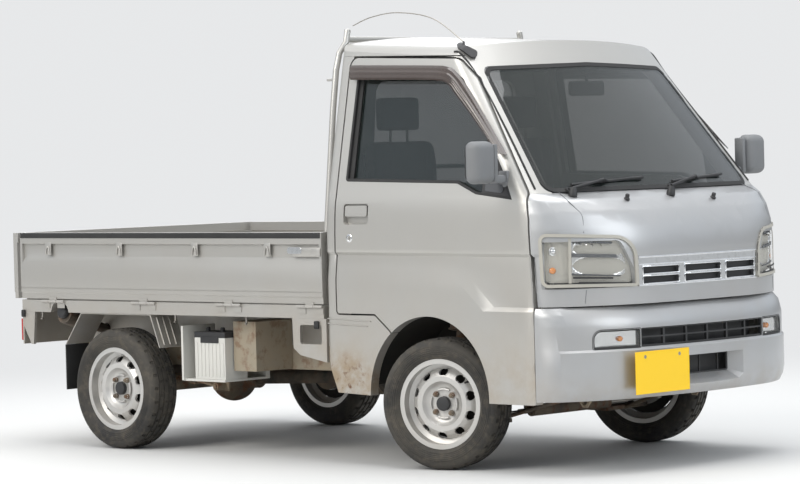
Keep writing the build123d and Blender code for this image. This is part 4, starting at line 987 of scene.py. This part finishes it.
def buildBumperLampBack(bm):
    bowl = bumperLamp["bowl"]
    fineFace(bm, corners(*bumperLamp["back"]), bumperLamp["backRadii"], 0.02, "front")
    for vert in bm.verts:
        share = max(0, 1 - ((vert.co.y - bowl["y"]) / bowl["half"]) ** 2)
        spot = onFront(vert.co.y, vert.co.z, "bumper_lamps")
        vert.co = spot - Vector((bumperLamp["deep"] + bowl["deep"] * share, 0, 0))


def buildBumperLampRim(bm):
    rim = corners(*bumperLamp["rim"])
    fineFace(bm, rim, bumperLamp["rimRadii"], 0.012, "front", bumperLamp["rimWide"], triangles=False)
    for vert in bm.verts:
        vert.co = onFront(vert.co.y, vert.co.z, "front_bumper bumper_lamps", bumperLamp["rimOut"])


def buildBumperBulb(bm):
    spot = onFront(*bumperLamp["bulb"], "bumper_lamps", -bumperLamp["bulbDeep"])
    lathe(bm, bumperLamp["profile"], facing(spot, bumperLamp["facing"]), 24)


pairPiece("bumperLampBack", buildBumperLampBack, "bumper_lamps", "reflector", outward=False, smooth=50)
pairPiece("bumperLampRim", buildBumperLampRim, "front_bumper", "softRubber", outward=False, thick=0.003)
pairPiece("bumperBulb", buildBumperBulb, "bumper_lamps", "bulbAmber", smooth=60)
print("lamps detailed")


# Grille backing, bumper fittings and number plate
grille = {
    "half": 0.366, "deep": 0.021, "upper": (0.803, 0.836), "lower": (0.724, 0.834), "level": 0.820,
    "columns": ((-0.350, -0.148), (-0.113, 0.113), (0.148, 0.350)), "rows": ((0.731, 0.762), (0.769, 0.799)),
    "edge": 0.0036, "edgeOut": -0.0005, "outer": 0.2, "spread": 1.004,
    "bands": ((0.836, -0.0015, 0.0045), (0.8065, -0.0010, 0.0035), (0.7255, -0.0015, 0.0040)),
    "bandHalf": 0.370, "bandParts": 20,
}
intake = {"x": 1.600, "half": 0.24, "rows": (0.33, 0.46), "upperHalf": 0.375, "level": 0.60, "deep": 0.055,
          "upperRows": (0.486, 0.564)}
plate = {"low": (-0.464, 0.309), "high": (-0.136, 0.472), "round": 0.006, "rim": 0.0035, "rimOut": 0.0006,
         "face": 1.6968, "bolts": (-0.405, -0.195), "boltZ": 0.452,
         "bolt": [(0.0085, -0.002), (0.0085, -0.0004), (0.0078, 0.0003), (0, 0.0006)]}


def acrossFront(bm, parts, half, rows, place):  # a sheet over the width, with its lower and upper height
    low, high = rows
    sheet(bm, parts, 1, lambda u, v: place(half * (2 * u - 1), low + (high - low) * v))


def buildGrilleBack(bm):  # follows the panel at every height
    acrossFront(bm, 30, grille["half"], grille["upper"],
                lambda y, z: onFront(y, z, "grille") - Vector((grille["deep"], 0, 0)))


def buildGrilleDark(bm):  # upright, behind the openings
    acrossFront(bm, 30, grille["half"], grille["lower"],
                lambda y, z: Vector((onFront(y, grille["level"], "grille").x - grille["deep"], y, z)))


def buildGrilleBars(bm):  # a rounded chrome edge round each opening, and the bands above and below them
    for y0, y1 in grille["columns"]:
        for z0, z1 in grille["rows"]:
            ring = corners((y0, z0), (y1, z1))
            path = []
            for (y, z), (nextY, nextZ) in zip(ring, ring[1:] + ring[:1]):
                for share in (0.0, 0.25, 0.5, 0.75):
                    a, b = y + (nextY - y) * share, z + (nextZ - z) * share
                    spread = grille["spread"] if abs(a) > grille["outer"] else 1
                    path.append(onFront(a * spread, b, "grille", grille["edgeOut"]))
            sweepRing(bm, path, grille["edge"], closed=True)
    half, parts = grille["bandHalf"], grille["bandParts"]
    for z, out, radius in grille["bands"]:
        path = [onFront(half * (2 * i / parts - 1), z, "grille", out) for i in range(parts + 1)]
        sweepRing(bm, path, radius)


def buildIntakeBack(bm):
    acrossFront(bm, 12, intake["half"], intake["rows"], lambda y, z: Vector((intake["x"], y, z)))
    acrossFront(bm, 20, intake["upperHalf"], intake["upperRows"],
                lambda y, z: Vector((onFront(y, intake["level"], "front_bumper").x - intake["deep"], y, z)))


def buildPlateRim(bm):
    rim = corners(plate["low"], plate["high"])
    fineFace(bm, rim, [plate["round"]] * 4, 1, "front", plate["rim"], triangles=False)
    bmesh.ops.translate(bm, vec=(plate["face"] + plate["rimOut"], 0, 0), verts=bm.verts)


def buildPlateBolts(bm):
    for y in plate["bolts"]:
        lathe(bm, plate["bolt"], facing((plate["face"], y, plate["boltZ"]), (1, 0, 0)), 6)


onePiece("grilleBack", buildGrilleBack, "grille", "blackPlastic", thick=0.002, outward=False)
onePiece("grilleDark", buildGrilleDark, "grille", "blackPlastic", thick=0.002, outward=False)
onePiece("grilleBars", buildGrilleBars, "grille", "chrome", smooth=60, weld=0)
onePiece("intakeDark", buildIntakeBack, "bumper_grille", "blackPlastic", thick=0.002, outward=False, weld=0)
onePiece("plateRim", buildPlateRim, "number_plate", "plateYellow", thick=0.001, outward=False)
onePiece("plateBolts", buildPlateBolts, "number_plate", "steelRod")

wiperCap = {"at": ((572.8, 196.4), (670.6, 195.0)), "lean": (-0.3, 0.25, 0.5), "steps": 24,
            "profile": [(0.0165, -0.002), (0.0175, 0.006), (0.0165, 0.014), (0.013, 0.030), (0.010, 0.036),
                        (0, 0.037)]}
washer = {"at": ((626.8, 199.2), (712.9, 197.8)), "lean": (-0.2, 0, 0.7), "steps": 20,
          "profile": [(0.012, -0.001), (0.012, 0.004), (0.0085, 0.007), (0.0085, 0.019), (0.006, 0.022),
                      (0, 0.022)]}
screen = {"outline": [(-0.641, 1.096), (0.641, 1.096), (0.553, 1.597), (0, 1.612), (-0.553, 1.597)],
          "radii": [0.045, 0.045, 0.05, 0, 0.05], "ring": 0.016, "out": 0.003}


def standing(spec):
    def build(bm):
        for px, py in spec["at"]:
            spot, normal = firstStrike(cameraSet["place"], pixelRay(px, py), "cab_front front_panel")
            lathe(bm, spec["profile"], facing(spot, normal + Vector(spec["lean"])), spec["steps"])
    return build


def buildScreenRubber(bm):
    fineFace(bm, screen["outline"], screen["radii"], 0.05, "front", screen["ring"], triangles=False)
    for vert in bm.verts:
        vert.co.x = onFront(vert.co.y, vert.co.z, "cab_glass cab_front roof").x + screen["out"]


onePiece("wiperCaps", standing(wiperCap), "wipers", "blackPlastic", smooth=50)
onePiece("washerNozzles", standing(washer), "wipers", "blackPlastic")
onePiece("screenRubber", buildScreenRubber, "cab_glass", "softRubber", thick=0.006, edge=0.0015,
         outward=False)
print("front detailed")


# Antenna: the bent whip, the pad on the front corner of the roof, and the stub that holds the whip
whip = {
    "line": [(0.928, -0.559, 1.698), (0.760, -0.552, 1.797), (0.560, -0.545, 1.8312), (0.400, -0.538, 1.820),
             (0.290, -0.534, 1.790)],
    "radius": 0.0022, "stub": (464.5, 49.5), "stubOut": 0.004, "stubRadius": 0.0050, "padOut": 0.005,
    "pad": [(457.5, 46.5), (461, 44.8), (476.5, 53.0), (476, 58.6), (471, 59), (458, 49)],
    "padRadii": [1.5, 1.5, 3, 2, 2, 1.5], "nodes": "roof cab_front",
}


def buildWhip(bm):
    sweepRing(bm, smoothPath(whip["line"], 8), whip["radius"])


def buildWhipPad(bm):
    pixelPatch(bm, whip["pad"], whip["padRadii"], whip["nodes"], whip["padOut"], 1.0)


def buildWhipStub(bm):
    foot = atPixel(*whip["stub"], whip["nodes"], whip["stubOut"])
    sweepRing(bm, [foot, whip["line"][0]], whip["stubRadius"], 12)


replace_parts(onePiece("antennaWhip", buildWhip, "antenna", "steelRod", smooth=60), "antenna")
onePiece("antennaBase", buildWhipPad, "antenna", "blackPlastic", smooth=50, thick=0.007, edge=0.002,
         outward=False)
onePiece("antennaStub", buildWhipStub, "antenna", "blackPlastic", smooth=50)


# Wheels: the parts are made about the axle, outer side at +Y, and put in each wheel's place
axle = {"front": (0.855, 0.6525, 0.263433), "rear": (-1.045, 0.650, 0.263), "kingpin": 0.5775, "steer": 15,
        "lean": 10}
wheelSet = {
    "cap": [(0.0290, 0.020), (0.0290, 0.0365), (0.0278, 0.0402), (0.023, 0.0418), (0, 0.0418)],
    # painted shade: a near-black ring behind the vent openings
    "paintedShade": [(0.062, -0.013), (0.139, -0.013), (0.139, -0.017), (0.062, -0.017), (0.062, -0.013)],
    "nut": [(0.0125, 0.026), (0.0125, 0.031), (0.0098, 0.033), (0.0098, 0.040), (0.0085, 0.0425),
            (0.0048, 0.0425), (0.0042, 0.045), (0, 0.045)], "nutCircle": 0.050,
    "arc": {"radius": 0.058, "out": 0.0302, "thick": 0.0045},
    "vents": {"count": 10, "first": 18, "circle": 0.126, "half": (0.0155, 0.0205), "thick": 0.0018,
              "parts": 24},
    "disc": ((0.110, 0.046), (0.128, 0.034), (0.144, 0.012)),
    "valve": [(0, 0), (0.0055, 0), (0.005, 0.016), (0.0038, 0.018), (0.0038, 0.030), (0, 0.031)],
    "valveFrom": (0.150, 40, 0.030), "valveTo": (0.142, 40, 0.060),
}
tyre = {
    "bead": [(0.181, 0.0632), (0.1865, 0.0665)],
    "ribs": (0.196, 0.203, 0.210, 0.217, 0.224, 0.231), "ribFoot": 0.0022, "ribTop": 0.0012, "ribOut": 0.0011,
    "wall": 0.0672, "bulge": 0.0100, "wallFrom": 0.186, "wallTall": 0.062, "shape": 0.8,
    "shoulder": [(0.240, 0.0745), (0.249, 0.0700), (0.256, 0.0632), (0.2605, 0.0550), (0.2615, 0.0460)],
    "channels": (0.040, 0.014, -0.014, -0.040), "channelTop": 0.0045, "channelFoot": 0.003,
    "channelDeep": 0.006, "radius": 0.2630, "crown": 0.0006 / 0.04, "steps": 112,
    "tread": {"from": 0.2572, "half": 0.0625, "flat": 0.93, "least": 0.00006, "outer": 0.041},
    "sipe": 0.0016, "sipeDeep": 0.0045,
}
alongAxle = Matrix.Rotation(math.radians(-90), 4, "X")  # turns a lathe's Z to the wheel's outer side


def wheelPlaces():
    places = {}
    steer, lean = math.radians(axle["steer"]), math.radians(axle["lean"])
    for side, sign in (("right", -1), ("left", 1)):
        flip = Matrix.Diagonal((1, sign, 1, 1))
        pin = Matrix.Translation((axle["front"][0], axle["kingpin"] * sign, axle["front"][2]))
        axis = (0, -sign * math.sin(lean), math.cos(lean))
        turning = pin @ Matrix.Rotation(steer, 4, axis) @ pin.inverted()
        places["front_" + side] = turning @ flip @ Matrix.Translation(axle["front"])
        places["rear_" + side] = flip @ Matrix.Translation(axle["rear"])
    return places


def onWheels(name, build, kind, finish, **settings):
    pieces = {}
    for wheel, place in wheelPlaces().items():
        bm = bmesh.new()
        build(bm)
        bmesh.ops.transform(bm, matrix=place, verts=bm.verts)
        if place.determinant() < 0:
            bmesh.ops.reverse_faces(bm, faces=bm.faces)
        title = name + wheel.title().replace("_", "")
        pieces[wheel] = finishPiece(title, bm, kind + "_" + wheel, finish, **settings)
    return pieces


def aboutAxle(radius, degrees, out=0):  # a place about the axle
    angle = math.radians(degrees)
    return Vector((radius * math.cos(angle), out, radius * math.sin(angle)))


def onAxle(profile, steps):
    return lambda bm: lathe(bm, profile, alongAxle, steps)


def buildWheelNuts(bm):
    for degrees in (45, 135, 225, 315):
        place = Matrix.Translation(aboutAxle(wheelSet["nutCircle"], degrees)) @ alongAxle
        lathe(bm, wheelSet["nut"], place, 6)


def buildHubArcs(bm):  # raised arcs between the nuts
    arc = wheelSet["arc"]
    for middle in (0, 90, 180, 270):
        path = [aboutAxle(arc["radius"], middle + degrees, arc["out"]) for degrees in range(-24, 25, 6)]
        sweepRing(bm, path, arc["thick"])


def discHeight(r):  # the disc's outer face, as in the solid
    inner, middle, outer = wheelSet["disc"]
    (r0, h0), (r1, h1) = (inner, middle) if r < middle[0] else (middle, outer)
    return h0 + (h1 - h0) * (r - r0) / (r1 - r0)


def buildVentLips(bm):  # rolled edges of the ten openings
    vents = wheelSet["vents"]
    for index in range(vents["count"]):
        turn = math.radians(vents["first"] + 360 / vents["count"] * index)
        path = []
        for step in range(vents["parts"]):
            a = math.tau * step / vents["parts"]
            r, w = vents["circle"] + vents["half"][0] * math.cos(a), vents["half"][1] * math.sin(a)
            x, z = r * math.cos(turn) - w * math.sin(turn), r * math.sin(turn) + w * math.cos(turn)
            path.append((x, discHeight(r), z))
        sweepRing(bm, path, vents["thick"], 6, closed=True)


def buildValve(bm):
    start, end = aboutAxle(*wheelSet["valveFrom"]), aboutAxle(*wheelSet["valveTo"])
    lathe(bm, wheelSet["valve"], facing(start, end - start), 12)


def tyreSection():
    half = list(tyre["bead"])
    for r in tyre["ribs"]:
        swell = math.sin(math.pi * (r - tyre["wallFrom"]) / tyre["wallTall"]) ** tyre["shape"]
        low = tyre["wall"] + tyre["bulge"] * swell
        high = low + tyre["ribOut"]
        half += [(r - tyre["ribFoot"], low), (r - tyre["ribTop"], high), (r + tyre["ribTop"], high),
                 (r + tyre["ribFoot"], low)]
    half += tyre["shoulder"]
    crown = []
    for y in tyre["channels"]:
        top = tyre["radius"] - tyre["crown"] * abs(y)
        foot = top - tyre["channelDeep"]
        wide, narrow = tyre["channelTop"], tyre["channelFoot"]
        crown += [(top, y + wide), (foot, y + narrow), (foot, y - narrow), (top, y - wide)]
    return half + crown + [(r, -y) for r, y in reversed(half)]


def buildTyre(bm):  # every fourth block of each lane of the tread is sunk
    tread = tyre["tread"]
    lathe(bm, tyreSection(), alongAxle, tyre["steps"])
    chosen = []
    for face in bm.faces:
        middle = face.calc_center_median()
        if math.hypot(middle.x, middle.z) <= tread["from"] or abs(middle.y) >= tread["half"]:
            continue
        if abs(face.normal.y) >= tread["flat"] or face.calc_area() <= tread["least"]:
            continue
        step = round((math.atan2(middle.z, middle.x) / math.tau + 0.5) * tyre["steps"] - 0.5)
        lane = 0 if abs(middle.y) > tread["outer"] else 2
        if (step + lane + (2 if middle.y < 0 else 0)) % 4 == 0:
            chosen.append(face)
    bmesh.ops.inset_individual(bm, faces=chosen, thickness=tyre["sipe"], depth=-tyre["sipeDeep"],
                               use_even_offset=True)


for wheel, piece in onWheels("tyre", buildTyre, "tyre", "tyreRubber", smooth=28).items():
    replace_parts(piece, "tyre_" + wheel)
onWheels("centreCap", onAxle(wheelSet["cap"], 36), "rim", "blackPlastic", smooth=40)
onWheels("wheelNuts", buildWheelNuts, "rim", "underParts", smooth=20)
# A near-black ring just behind the openings: painted shade for the inside of the wheel
onWheels("ventPaintedShade", onAxle(wheelSet["paintedShade"], 48), "rim", "archBlack", smooth=40)
onWheels("hubArcs", buildHubArcs, "rim", "wheelPaint", smooth=50)
onWheels("ventLips", buildVentLips, "rim", "wheelPaint", smooth=60)
onWheels("valve", buildValve, "rim", "blackPlastic", smooth=40)
print("wheels detailed")


# Gates of the bed: the dark cap on the top rail, hooks, latches and hook pins
hook = {"plate": (0.846, 0.902),
        "loop": ((-0.013, 0, 0.850), (-0.010, 1, 0.868), (0, 1, 0.886), (0.010, 1, 0.868), (0.013, 0, 0.850))}
sideHooks = {"at": (-1.450, -0.976, -0.493, -0.050), "half": 0.019, "plate": (-0.7330, -0.7300),
             "loop": (-0.7345, -0.7362), "radius": 0.0032, "place": lambda a, out, z: (a, out, z)}
tailHooks = {"at": (-0.45, 0.45), "half": 0.02, "plate": (-1.6925, -1.6890),
             "loop": (-1.6938, -1.6955), "radius": 0.0018, "place": lambda a, out, z: (out, a, z)}
gate = {
    "cap": ((-1.640, -0.7335, 0.9215), (0.262, -0.7290, 0.9448), 0.001),
    "tailCap": ((-1.6925, -0.724, 0.9295), (-1.6880, 0.724, 0.9448), 0.001),
    "latch": (((0.100, -0.7352, 0.846), (0.262, -0.7310, 0.884), 0.0015),
              ((0.214, -0.7368, 0.850), (0.264, -0.7340, 0.880), 0.0012)),
    "grip": ((0.072, 0.858), (0.158, 0.885)), "gripRound": 0.0134, "gripY": -0.7352, "gripThick": 0.0020,
    "pins": (-1.525, -0.646, -0.206), "pinRadius": 0.0045,
    "pin": ((-0.712, 0.600), (-0.712, 0.568), (-0.715, 0.561), (-0.719, 0.566)),
    "buffers": (((-1.648, -0.7345, 0.568), (-1.626, -0.7240, 0.600), 0.004),
                ((0.214, -0.7345, 0.550), (0.240, -0.7240, 0.582), 0.004)),
}


def hooks(spec):
    def build(bm):
        place, (foot, top) = spec["place"], hook["plate"]
        for at in spec["at"]:
            low = place(at - spec["half"], spec["plate"][0], foot)
            addBlock(bm, low, place(at + spec["half"], spec["plate"][1], top), 0.001)
            loop = [place(at + a, spec["loop"][out], z) for a, out, z in hook["loop"]]
            sweepRing(bm, smoothPath(loop, 4), spec["radius"])
    return build


def buildLatchGrip(bm):
    outlineFace(bm, corners(*gate["grip"]), [gate["gripRound"]] * 4)
    bmesh.ops.translate(bm, vec=(0, gate["gripY"], 0), verts=bm.verts)
    grown = bmesh.ops.extrude_face_region(bm, geom=bm.faces[:])["geom"]
    verts = [g for g in grown if isinstance(g, bmesh.types.BMVert)]
    bmesh.ops.translate(bm, vec=(0, -gate["gripThick"], 0), verts=verts)


def buildHookPins(bm):
    for x in gate["pins"]:
        sweepRing(bm, smoothPath([(x, y, z) for y, z in gate["pin"]], 4), gate["pinRadius"])


onBothSides("gateCap", blocks(gate["cap"]), "side_gate_SIDE", "softRubber")
onBothSides("ropeHooks", hooks(sideHooks), "side_gate_SIDE", "bedPaint", smooth=50, weld=0)
onBothSides("gateLatch", blocks(*gate["latch"]), "side_gate_SIDE", "bedPaint", weld=0)
onBothSides("latchGrip", buildLatchGrip, "side_gate_SIDE", "chrome", edge=0.0006)
pairPiece("hookPins", buildHookPins, "bed_deck", "steelRod", smooth=50, weld=0)
pairPiece("bedBuffers", blocks(*gate["buffers"]), "bed_deck", "softRubber", weld=0)
onePiece("tailCap", blocks(gate["tailCap"]), "tail_gate", "softRubber", smooth=40, weld=0)
onePiece("tailHooks", hooks(tailHooks), "tail_gate", "bedPaint", smooth=40, weld=0)
print("gates detailed")


# Seats: crowned cushions with sewn seams, one seat made and mirrored
seat = {
    "Cushion": {"low": (0.400, 0.135, 0.660), "high": (0.915, 0.605, 0.785), "crown": 0.020,
                "seams": ((1, -0.58), (1, 0.58), (0, 0.0))},
    "Back": {"low": (0.350, 0.180, 0.800), "high": (0.450, 0.560, 1.325), "crown": 0.018, "upright": True,
             "seams": ((1, -0.6), (1, 0.6), (2, 0.2))},
    "Head": {"low": (0.345, 0.255, 1.350), "high": (0.408, 0.485, 1.495), "crown": 0.012, "upright": True},
}
stuffing = {"corner": 0.07, "narrow": 0.965, "seamWide": 0.055, "from": 0.3, "valley": 0.55, "pull": 0.03}
recline = {"foot": 0.8, "tall": 0.525, "back": 0.030, "start": 0.014}
piping = {"rings": ((0.762, 0.012), (0.690, 0.010)), "corner": 0.035, "radius": 0.0032}
posts = {"x": 0.378, "ys": (0.32, 0.42), "rows": (1.30, 1.36), "radius": 0.006}
shells = (((0.345, 0.132, 0.6535), (0.900, 0.608, 0.676), 0.004),
          ((0.341, 0.190, 0.700), (0.352, 0.550, 1.26), 0.004))


def crowned(bm, low, high, crown, seams=(), upright=False):
    # A stuffed block: its broad face swells between the seams and its sides pull in between the corners
    bmesh.ops.create_cube(bm, size=2.0)
    bmesh.ops.subdivide_edges(bm, edges=bm.edges[:], cuts=15, use_grid_fill=True)
    middle = [(a + b) / 2 for a, b in zip(low, high)]
    half = [(b - a) / 2 for a, b in zip(low, high)]
    broad = 0 if upright else 2
    flat = [axis for axis in range(3) if axis != broad]
    for vert in bm.verts:
        u = list(vert.co)
        place = []
        for axis in range(3):
            drop = 1 - stuffing["corner"] * (abs(u[(axis + 1) % 3]) ** 6 + abs(u[(axis + 2) % 3]) ** 6)
            narrow = stuffing["narrow"] if axis in flat else 1
            place.append(middle[axis] + half[axis] * narrow * u[axis] * drop)
        swell = max(0, 1 - u[flat[0]] ** 2) ** 0.6 * max(0, 1 - u[flat[1]] ** 2) ** 0.6
        valley = max([math.exp(-((u[axis] - at) / stuffing["seamWide"]) ** 2) for axis, at in seams] or [0])
        if u[broad] > stuffing["from"]:
            share = (u[broad] - stuffing["from"]) / (1 - stuffing["from"])
            place[broad] += crown * (swell - stuffing["valley"] * (1 + valley)) * share
        for axis, other in (flat, reversed(flat)):
            place[axis] -= half[axis] * stuffing["pull"] * u[axis] * abs(u[axis]) * (1 - u[other] ** 2)
        vert.co = place


def cushion(part):
    def build(bm):
        crowned(bm, **seat[part])
        if part == "Back":  # it leans rearwards towards its top
            for vert in bm.verts:
                lean = recline["back"] * (vert.co.z - recline["foot"]) / recline["tall"]
                vert.co.x -= lean - recline["start"]
    return build


def buildPiping(bm):
    low, high = seat["Cushion"]["low"], seat["Cushion"]["high"]
    corner = piping["corner"]
    for level, inset in piping["rings"]:
        path = []
        for turn, sx, sy in ((0, 1, 1), (90, -1, 1), (180, -1, -1), (270, 1, -1)):
            for step in range(5):
                angle = math.radians(turn + 22.5 * step)
                point = []
                for k, s, value in ((0, sx, math.cos(angle)), (1, sy, math.sin(angle))):
                    middle, half = (low[k] + high[k]) / 2, (high[k] - low[k]) / 2 - inset
                    point.append(middle + s * (half - corner) + corner * value)
                path.append((*point, level))
        sweepRing(bm, path, piping["radius"], 6, closed=True)


def buildSeatPosts(bm):
    for y in posts["ys"]:
        sweepRing(bm, [(posts["x"], y, z) for z in posts["rows"]], posts["radius"], 12)


for side in ("Left", "Right"):
    for part in seat:
        build = cushion(part) if side == "Left" else mirrored(cushion(part))
        soft = onePiece("seat" + part + side, build, "seats", "seatCloth", smooth=180, levels=1)
        if part == "Cushion" and side == "Left":
            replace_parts(soft, "seats")
pairPiece("seatPiping", buildPiping, "seats", "trimPlastic", smooth=60)
pairPiece("seatPosts", buildSeatPosts, "seats", "steelRod", smooth=60, weld=0)
# The black shells under the cushions and behind the backs
pairPiece("seatShells", blocks(*shells), "seats", "blackPlastic", weld=0)


# Cab interior
insideMirror = {"glass": ((1.075, -0.105, 1.475), (1.100, 0.105, 1.535), 0.012, 4),
                "arm": ((1.09, 0, 1.53), (1.085, 0, 1.56), (1.045, 0, 1.590)), "radius": 0.006}
sunVisors = (((0.930, -0.50, 1.576), (1.020, -0.15, 1.590), 0.006, 3),
             ((0.930, 0.15, 1.576), (1.020, 0.50, 1.590), 0.006, 3))
console = ((1.258, -0.12, 0.86), (1.268, 0.12, 0.97), 0.004)
vents = [((1.262, y - 0.045, 0.945), (1.2685, y + 0.045, 0.985), 0.003) for y in (-0.56, -0.17, 0.30, 0.52)]
steeringPad = {"place": (1.1215, -0.350, 0.9875), "facing": (-0.5, 0, 0.866), "steps": 28,
               "profile": [(0, 0.030), (0.040, 0.029), (0.062, 0.022), (0.068, 0.006), (0.060, 0.0)]}


def buildInsideMirror(bm):
    addBlock(bm, *insideMirror["glass"])
    sweepRing(bm, insideMirror["arm"], insideMirror["radius"], 10)


onePiece("insideMirror", buildInsideMirror, "cab_front", "blackPlastic", weld=0)
onePiece("sunVisors", blocks(*sunVisors), "roof", "trimPlastic", weld=0)
onePiece("dashFittings", blocks(console, *vents), "dashboard", "blackPlastic", weld=0)
onePiece("steeringPad", turned(steeringPad), "steering_wheel", "blackPlastic", weld=0)
print("seats and interior made")


# Underside and bed details
bedRibs = rowOf((-1.60, -0.618, 0.6548), (0.225, -0.582, 0.6585), 0.0012, (0, 0.12, 0), 11)
batteryRibs = rowOf((-0.552, -0.6862, 0.330), (-0.540, -0.6838, 0.474), 0.0006, (0.0228, 0, 0), 8)
batteryLid = {"top": ((-0.5615, -0.6855, 0.496), (-0.3705, -0.5545, 0.5205), 0.002),
              "clip": ((-0.520, -0.6885, 0.474), (-0.410, -0.6845, 0.500), 0.0015),
              "terminals": ((-0.530, -0.63, 0.520), (-0.440, -0.63, 0.520)),
              "profile": [(0.010, 0.0), (0.010, 0.014), (0.007, 0.018), (0, 0.018)]}
fuelCap = {"place": (-1.393, -0.7000, 0.592), "facing": (0, -1, 0.25), "steps": 24,
           "profile": [(0.030, -0.004), (0.030, 0.010), (0.026, 0.016), (0.010, 0.018), (0, 0.018)]}
guardRibs = {"ys": (-0.690, -0.655, -0.620), "line": ((-0.7445, 0.460), (-0.7915, 0.578)), "radius": 0.0045}


def buildBatteryLid(bm):
    addBlock(bm, *batteryLid["top"])
    addBlock(bm, *batteryLid["clip"])
    for place in batteryLid["terminals"]:
        lathe(bm, batteryLid["profile"], facing(place, (0, 0, 1)), 16)


def buildMudguardRibs(bm):
    for y in guardRibs["ys"]:
        sweepRing(bm, [(x, y, z) for x, z in guardRibs["line"]], guardRibs["radius"])


onePiece("bedRibs", blocks(*bedRibs), "bed_deck", "bedPaint", weld=0)
onePiece("fuelCap", turned(fuelCap), "fuel_tank", "blackPlastic", smooth=40)
pairPiece("mudguardRibs", buildMudguardRibs, "mudguards", "bedPaint", smooth=50, weld=0)
onePiece("batteryRibs", blocks(*batteryRibs), "battery", "batteryCase", weld=0)
onePiece("batteryLid", buildBatteryLid, "battery", "blackPlastic", weld=0)
print("bed detailed")


# Floor, light and background
stageSet = {
    "size": 60, "floor": (0.62, 0.62, 0.61), "back": (0.80, 0.81, 0.82), "skyStrength": 0.95,
    "clear": 2.2, "gone": 6.5,
    "bands": ((0.02, (0.16, 0.165, 0.17)), (0.95, (0.86, 0.91, 1.0)), (0.10, (0.30, 0.31, 0.32)),
              (0.24, (0.78, 0.84, 0.92))),
}


def blend(holder, share, out, first, second, output):
    mix = addNode(holder, "MixShader")
    wire(holder, share, out, mix, 0)
    wire(holder, first, 0, mix, 1)
    wire(holder, second, 0, mix, 2)
    wire(holder, mix, 0, holder.node_tree.nodes[output], "Surface")


def addFloor(spec):
    bm = bmesh.new()
    bmesh.ops.create_grid(bm, x_segments=1, y_segments=1, size=spec["size"])
    mesh = bpy.data.meshes.new("studioFloor")
    bm.to_mesh(mesh)
    bm.free()
    mat, bsdf = newMaterial("studioFloor", spec["floor"], 0.9)
    # Far from the truck the camera sees the floor in the background's own colour
    away = addNode(mat, "VectorMath", operation="LENGTH")
    wire(mat, objectPoint(mat), "Vector", away, 0)
    share = addNode(mat, "Math", operation="MULTIPLY")
    wire(mat, softStep(mat, away, "Value", spec["clear"], spec["gone"]), 0, share, 0)
    wire(mat, addNode(mat, "LightPath"), "Is Camera Ray", share, 1)
    plain = addNode(mat, "Emission", {"Color": (*spec["back"], 1)})
    blend(mat, share, 0, bsdf, plain, "Material Output")
    mesh.materials.append(mat)
    floor = bpy.data.objects.new("studioFloor", mesh)
    scene.collection.objects.link(floor)


def addSky(spec):
    world = bpy.data.worlds.new("studioWorld")
    world.use_nodes = True
    scene.world = world
    sky = world.node_tree.nodes["Background"]
    sky.inputs["Strength"].default_value = spec["skyStrength"]
    plain = addNode(world, "Background", {"Color": (*spec["back"], 1)})
    # The sky is bright above and dull along the horizon, where the surroundings would be
    split = addNode(world, "SeparateXYZ")
    ramp = addNode(world, "ValToRGB")
    stops = ramp.color_ramp.elements
    stops = [stops[0], stops[1]] + [stops.new(0.5) for _ in spec["bands"][2:]]
    for stop, (place, colour) in zip(stops, spec["bands"]):
        stop.position = place
        stop.color = (*colour, 1)
    wire(world, addNode(world, "TexCoord"), "Generated", split, 0)
    wire(world, split, "Z", ramp, "Fac")
    wire(world, ramp, "Color", sky, "Color")
    blend(world, addNode(world, "LightPath"), "Is Camera Ray", sky, plain, "World Output")


lights = {
    "sideSoft": {"place": (-1.0, -9.0, 6.5), "aim": (0, 0, 0.8), "size": 7.0, "power": 620,
                 "colour": (1.0, 0.97, 0.92)},
    "overhead": {"place": (0.5, 0.5, 9.0), "aim": (0, 0, 0.5), "size": 9.0, "power": 520,
                 "colour": (0.97, 0.98, 1.0)},
    "frontSoft": {"place": (9.5, 1.5, 4.5), "aim": (1.0, 0, 0.9), "size": 5.0, "power": 210,
                 "colour": (0.90, 0.95, 1.0)},
    "rearFill": {"place": (-8.0, 6.0, 5.0), "aim": (0, 0, 0.8), "size": 6.0, "power": 180,
                 "colour": (1.0, 1.0, 1.0)},
}


def addLights(specs):
    for name, spec in specs.items():
        data = bpy.data.lights.new(name, "AREA")
        data.shape = "DISK"
        data.size = spec["size"]
        data.energy = spec["power"]
        data.color = spec["colour"]
        light = bpy.data.objects.new(name, data)
        scene.collection.objects.link(light)
        aim = Vector(spec["aim"]) - Vector(spec["place"])
        turn = aim.to_track_quat("-Z", "Y").to_matrix().to_4x4()
        light.matrix_world = Matrix.Translation(spec["place"]) @ turn


addFloor(stageSet)
addSky(stageSet)
addLights(lights)
scene.view_settings.view_transform = "Standard"
print("stage and lamps placed")
